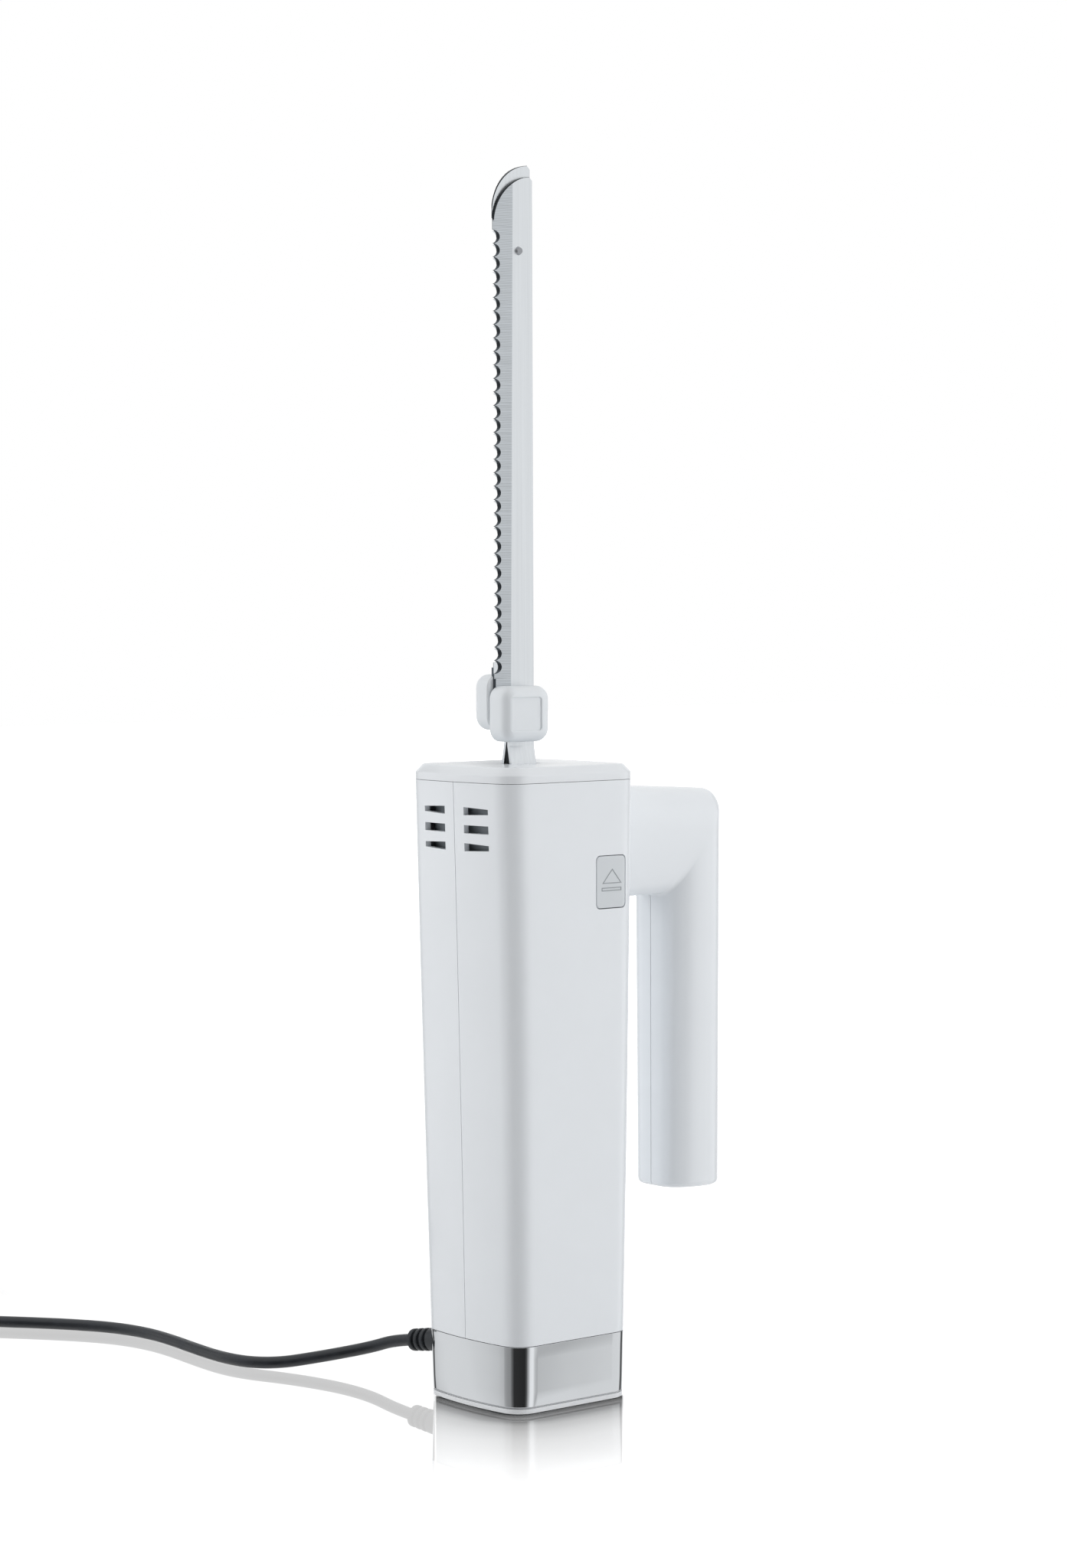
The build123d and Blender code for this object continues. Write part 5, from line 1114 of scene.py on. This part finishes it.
def coil_spot(forward, left, height):
    """A point ahead of and to the left of the coil's middle line."""
    flat = entry + ahead * (COIL_AHEAD + forward) + beside * (OUTER + left)
    return (flat[0], flat[1], height)


# Half turns join these places on the line across the coil: inwards on the floor, outwards above.
ends = [(-OUTER, FLOOR_Z)] + [((-1) ** k * (OUTER - (k + 1) // 2 * PITCH), FLOOR_Z) for k in range(6)]
ends += [(INNER - PITCH / 2, UPPER_Z)] + [((-1) ** k * (INNER + k * PITCH / 2), UPPER_Z) for k in range(1, 6)]
for number, ((left_a, z_a), (left_b, z_b)) in enumerate(zip(ends, ends[1:])):
    radius = (left_a - left_b) / 2 / CURVE_SHARE
    for angle in (np.arange(12) + 0.5) * math.pi / 12:
        forward = abs(radius) * math.sin(angle) * (-1) ** number
        left = (left_a + left_b) / 2 + radius * math.cos(angle)
        route.append(coil_spot(forward, left, (z_a + z_b) / 2 + (z_a - z_b) / 2 * math.cos(angle)))
for forward in (9.0, 28.0):
    route.append(coil_spot(forward, ends[-1][0], UPPER_Z))

# %% Cord curve
line = bpy.data.curves.new("cord_line", "CURVE")
line.dimensions = "3D"
strand = line.splines.new("NURBS")
strand.points.add(len(route) - 1)
spots = np.column_stack([np.array(route) * MM, np.ones(len(route))])
strand.points.foreach_set("co", spots.astype(np.float32).ravel())
strand.order_u = 3
strand.use_endpoint_u = True
strand.resolution_u = 6
line.bevel_depth = 0.0023
line.bevel_resolution = 4
line.use_fill_caps = True
line.materials.append(cord_black)
mains_cord = show("mains_cord", line)
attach(mains_cord, "housing")
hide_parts("cord", "cord_coil")
print("cord has", len(route), "points")

# %% [markdown]
# ## Finishes for the solids that stay
# The blades, the keys in the grip and all that is inside keep their measured solids. Each gets
# the finish of its real material.

# %% Finishes by node
finishes = {
    blade_front_steel: "blade_front", blade_rear_steel: "blade_rear", rivet_steel: "blade_rivet",
    key_grey: "power_button lock_slider", switch_grey: "switch_block",
    nylon_cream: "carrier_front carrier_rear worm_wheel",
    spring_steel: "switch_spring button_spring_front button_spring_rear brush_springs",
    frame_grey: "latch_clip_front latch_clip_rear gear_frame cooling_fan cord_clamp",
    shaft_steel: "gear_axle motor_shaft", laminations: "stator_core armature_core", brass: "worm",
    field_copper: "field_coils", armature_copper: "armature_windings", commutator_copper: "commutator",
    bearing_bronze: "upper_bearing middle_bearing lower_bearing", carbon_block: "carbon_brushes",
    contact_brass: "brush_holders", foil_silver: "suppression_capacitor",
    screw_steel: "motor_bracket housing_screws grip_screw base_screws", cord_black: "cord_tail",
    plug_black: "plug", pin_metal: "plug_pins",
}
covered = set("""left_shell right_shell top_cap chrome_band base_plate release_button_front
    release_button_rear guard_front guard_rear strain_relief cord cord_coil""".split())
for material, names in finishes.items():
    for name in names.split():
        nodes[name].data.materials.clear()
        nodes[name].data.materials.append(material)
        covered.add(name)
print("left plain:", sorted(set(nodes) - covered))

# %% [markdown]
# ## The floor
# The knife stands on white glossy board. For the camera the board adds light of its own, so that
# it reads as plain white where nothing shades it, and it keeps the soft shadow round the foot, which in front
# of the knife is deepened by a painted shadow.
# A thin mirror layer gives the faint reflection. It fades out in front of the knife, and left of
# it the board is mirror and own light only, so that the dark cord shows its pale double. Polished
# pieces look through the board, at the lower half of the drum that stands round the set.
# The zones are laid out for the one camera: slant says how far aside a point lies in its view,
# toward how far it lies before the middle of the knife, and away how far it is from the foot.

# %% Floor zones
def bare_tree(holder):
    """The emptied node tree of a material or of the world."""
    holder.use_nodes = True
    holder.node_tree.nodes.clear()
    return holder.node_tree


def ray_kinds(tree):
    """One output for each kind of ray, 1 when the point is reached by such a ray."""
    return add_node(tree, "ShaderNodeLightPath").outputs


def straight_sight(tree, path):
    """1 for what is seen by the camera, in metal or through glass, and 0 for light that bounces."""
    mirrored = calculate(tree, "MAXIMUM", path["Is Glossy Ray"], path["Is Transmission Ray"])
    return calculate(tree, "MAXIMUM", path["Is Camera Ray"], mirrored)


CORNER_WAY = (-0.64, -0.768, 0)
LEFT_END, RIGHT_END, CORD_END = -0.0268, 0.0245, -0.156
FOOT_CORE, FOOT_CORNER = (0.0204, 0.0181, 1), 0.009
SHADE_REACH = 160
SHADE = [(0, 0.05), (3, 0.09), (6, 0.15), (11, 0.22), (14, 0.33), (18, 0.43), (28, 0.54),
         (40, 0.63), (56, 0.69), (77, 0.78), (99, 0.83), (120, 0.87), (150, 0.94)]

floor_mesh = bpy.data.meshes.new("floor")
floor_mesh.from_pydata([(-6, -6, 0), (6, -6, 0), (6, 6, 0), (-6, 6, 0)], [], [(0, 1, 2, 3)])
floor = show("floor", floor_mesh)
board = bpy.data.materials.new("floor_board")
tree = bare_tree(board)
spot = add_node(tree, "ShaderNodeTexCoord").outputs["Object"]
from_eye = vector_step(tree, "SUBTRACT", spot, tuple(eye))
slant = calculate(tree, "DIVIDE", measure(tree, "DOT_PRODUCT", from_eye, tuple(aside)),
                  measure(tree, "DOT_PRODUCT", from_eye, tuple(look)))
toward = measure(tree, "DOT_PRODUCT", spot, CORNER_WAY)
between = times(tree, stretch(tree, slant, LEFT_END, LEFT_END + 0.0005),
                stretch(tree, slant, RIGHT_END, RIGHT_END - 0.0005))
in_front = times(tree, between, stretch(tree, toward, 0.0, 0.005))
past_core = vector_step(tree, "SUBTRACT", vector_step(tree, "ABSOLUTE", spot), FOOT_CORE)
outside = vector_step(tree, "MAXIMUM", past_core, (0, 0, 0))
away = calculate(tree, "SUBTRACT", measure(tree, "LENGTH", outside), FOOT_CORNER)
cord_zone = times(tree, stretch(tree, slant, LEFT_END + 0.0002, LEFT_END - 0.0003),
                  stretch(tree, slant, CORD_END, CORD_END + 0.006),
                  times(tree, stretch(tree, toward, -0.22, -0.19), stretch(tree, toward, 0.14, 0.10)))
print("shade reaches", SHADE_REACH, "mm from the foot")

# %% [markdown]
# In front of the knife the board's own light falls off towards the foot, and its matt colour darkens
# with it: a painted shadow. A list gives its tone at each distance from the foot in millimetres. The mirror's
# share is greatest a few millimetres before the foot, and fades out over the next 14 cm.

# %% Floor finish
# SHADE is a painted shadow: it darkens the board's own light and its matt colour in front of the foot.
shade_node = add_node(tree, "ShaderNodeValToRGB", None, Fac=stretch(tree, away, 0, SHADE_REACH * MM))
for distance, tone in SHADE:
    shade_node.color_ramp.elements.new(distance / SHADE_REACH).color = (tone, tone, tone, 1)
open_share = calculate(tree, "ADD", rest_of(tree, in_front), times(tree, in_front, shade_node.outputs[0]))
mirror_share = times(tree, stretch(tree, toward, 0.05, 0.19, 0.32, 0.0, True), between,
                     stretch(tree, away, 0.001, 0.012, 0.3, 1.0))
mirror_share = calculate(tree, "ADD", mirror_share, times(tree, cord_zone, 0.55))
path = ray_kinds(tree)
seen = straight_sight(tree, path)
dark_share = calculate(tree, "MAXIMUM", rest_of(tree, open_share), cord_zone)
paper_tone = stretch(tree, times(tree, seen, dark_share), 0, 1, 0.9, 0.0)
matt = add_node(tree, "ShaderNodeBsdfDiffuse", None, Color=paper_tone).outputs[0]
mirror = add_node(tree, "ShaderNodeBsdfGlossy", None, Color=(1, 1, 1, 1), Roughness=0.0).outputs[0]
layered = add_node(tree, "ShaderNodeMixShader", None, _0=mirror_share, _1=matt, _2=mirror).outputs[0]
plain_light = stretch(tree, measure(tree, "LENGTH", spot), 0.5, 1.5, 0.46, 1.0)
light_here = calculate(tree, "ADD", times(tree, open_share, plain_light), times(tree, cord_zone, 0.11))
own_light = times(tree, seen, light_here)
lift = add_node(tree, "ShaderNodeEmission", None, Color=(1, 1, 1, 1), Strength=own_light).outputs[0]
total = add_node(tree, "ShaderNodeAddShader", None, _0=layered, _1=lift).outputs[0]
clear = add_node(tree, "ShaderNodeBsdfTransparent").outputs[0]
open_to_gloss = add_node(tree, "ShaderNodeMixShader", None, _0=path["Is Glossy Ray"], _1=total, _2=clear)
add_node(tree, "ShaderNodeOutputMaterial", None, Surface=open_to_gloss.outputs[0])
floor_mesh.materials.append(board)

# %% [markdown]
# ## The set round the knife
# Glossy things show what stands round them. A tall paper drum stands round the set, invisible to
# the camera: it is bright to the left and right, dark in a strip behind the camera, and grey in
# between. The dark strip is what draws the black line down the band's front corner and the soft
# shade along the housing's corner. Its tones are laid out by the compass angle of each point. The
# floor's mirror layer is the only perfectly sharp one, and it sees the drum as even white paper.

# %% Drum
def drum_points(radius, low, high, around=96):
    """A ring of points at each of two heights."""
    angle = np.linspace(0, 2 * np.pi, around, endpoint=False)
    ring = np.stack([radius * np.cos(angle), radius * np.sin(angle)], -1)
    return np.vstack([np.column_stack([ring, np.full(around, z)]) for z in (low, high)])


EVEN_PAPER = (0.86, 0.865, 0.87, 1)
TONES = [(-180, 0.85), (-152, 0.9), (-143, 0.1), (-131, 0.1), (-125, 0.76), (-113, 0.95), (-100, 0.93),
         (-90, 0.82), (-80, 0.64), (-72, 0.45), (-58, 0.38), (-45, 0.35), (-36, 0.16), (-26, 0.04),
         (27, 0.03), (35, 0.12), (44, 0.5), (54, 1.1), (68, 1.15), (75, 0.85), (78, 0.6), (79.2, 0.56),
         (79.8, 0.7), (80.4, 0.86), (81, 0.94), (117, 0.97), (126, 0.1), (140, 0.1), (150, 0.9)]

drum_mesh = bpy.data.meshes.new("drum")
drum_mesh.from_pydata(drum_points(3.2, -2.4, 2.4).tolist(), [], net_faces(2, 96, ring=True).tolist())
drum = show("drum", drum_mesh)
drum.visible_camera = False
drum.visible_shadow = False
paper = bpy.data.materials.new("drum_paper")
tree = bare_tree(paper)
spot = add_node(tree, "ShaderNodeTexCoord").outputs["Object"]
front = measure(tree, "DOT_PRODUCT", spot, CORNER_WAY)
right = measure(tree, "DOT_PRODUCT", spot, (-CORNER_WAY[1], CORNER_WAY[0], 0))
compass = calculate(tree, "ARCTAN2", right, front)
ramp_node = add_node(tree, "ShaderNodeValToRGB", None, Fac=stretch(tree, compass, -math.pi, math.pi))
for angle, tone in TONES:
    ramp_node.color_ramp.elements.new((angle + 180) / 360).color = (tone, tone * 1.01, tone * 1.02, 1)
drum_tone = blend_colours(tree, ray_kinds(tree)["Is Singular Ray"], ramp_node.outputs[0], EVEN_PAPER)
glow = add_node(tree, "ShaderNodeEmission", None, Color=drum_tone, Strength=1.0).outputs[0]
add_node(tree, "ShaderNodeOutputMaterial", None, Surface=glow)
drum_mesh.materials.append(paper)

# %% [markdown]
# ## Light
# The world is a plain white sky, seen by the camera as pure white. Two big soft lamps stand to the
# left and right, a little behind the knife, so that both faces are light and the corner between
# them is a shade darker, as in the photograph. A third one hangs above for the cap, and a weak
# one in front lifts the side of the grip that faces the camera.

# %% Sky and lamps
world = bpy.data.worlds.new("sky")
bpy.context.scene.world = world
tree = bare_tree(world)
strength = stretch(tree, straight_sight(tree, ray_kinds(tree)), 0, 1, 0.76, 1.0)
back = add_node(tree, "ShaderNodeBackground", None, Color=(1, 1, 1, 1), Strength=strength).outputs[0]
add_node(tree, "ShaderNodeOutputWorld", None, Surface=back)


def soft_lamp(name, spot, aim, size, power):
    """A square lamp at spot, turned to shine on aim."""
    data = bpy.data.lights.new(name, "AREA")
    data.shape = "RECTANGLE"
    data.size, data.size_y = size
    data.energy = power
    lamp = show(name, data)
    away = np.array(spot, float) - np.array(aim, float)
    away /= np.linalg.norm(away)
    across = np.cross([0, 0, 1.0], away)
    across /= np.linalg.norm(across)
    stand = np.eye(4)
    stand[:3, :3] = np.stack([across, np.cross(away, across), away], -1)
    stand[:3, 3] = spot
    lamp.matrix_world = stand.T.tolist()
    lamp.visible_camera = False
    lamp.visible_glossy = False


soft_lamp("left_lamp", (-1.75, 1.7, 0.9), (0, 0, 0.2), (1.2, 1.8), 22)
soft_lamp("right_lamp", (1.7, -1.75, 0.9), (0, 0, 0.2), (1.2, 1.8), 16.5)
soft_lamp("top_lamp", (0.1, -0.3, 2.4), (0, 0, 0.3), (1.6, 1.6), 4.5)
soft_lamp("front_lamp", (-1.6, -1.9, 0.8), (0, 0, 0.2), (1.2, 1.8), 2)
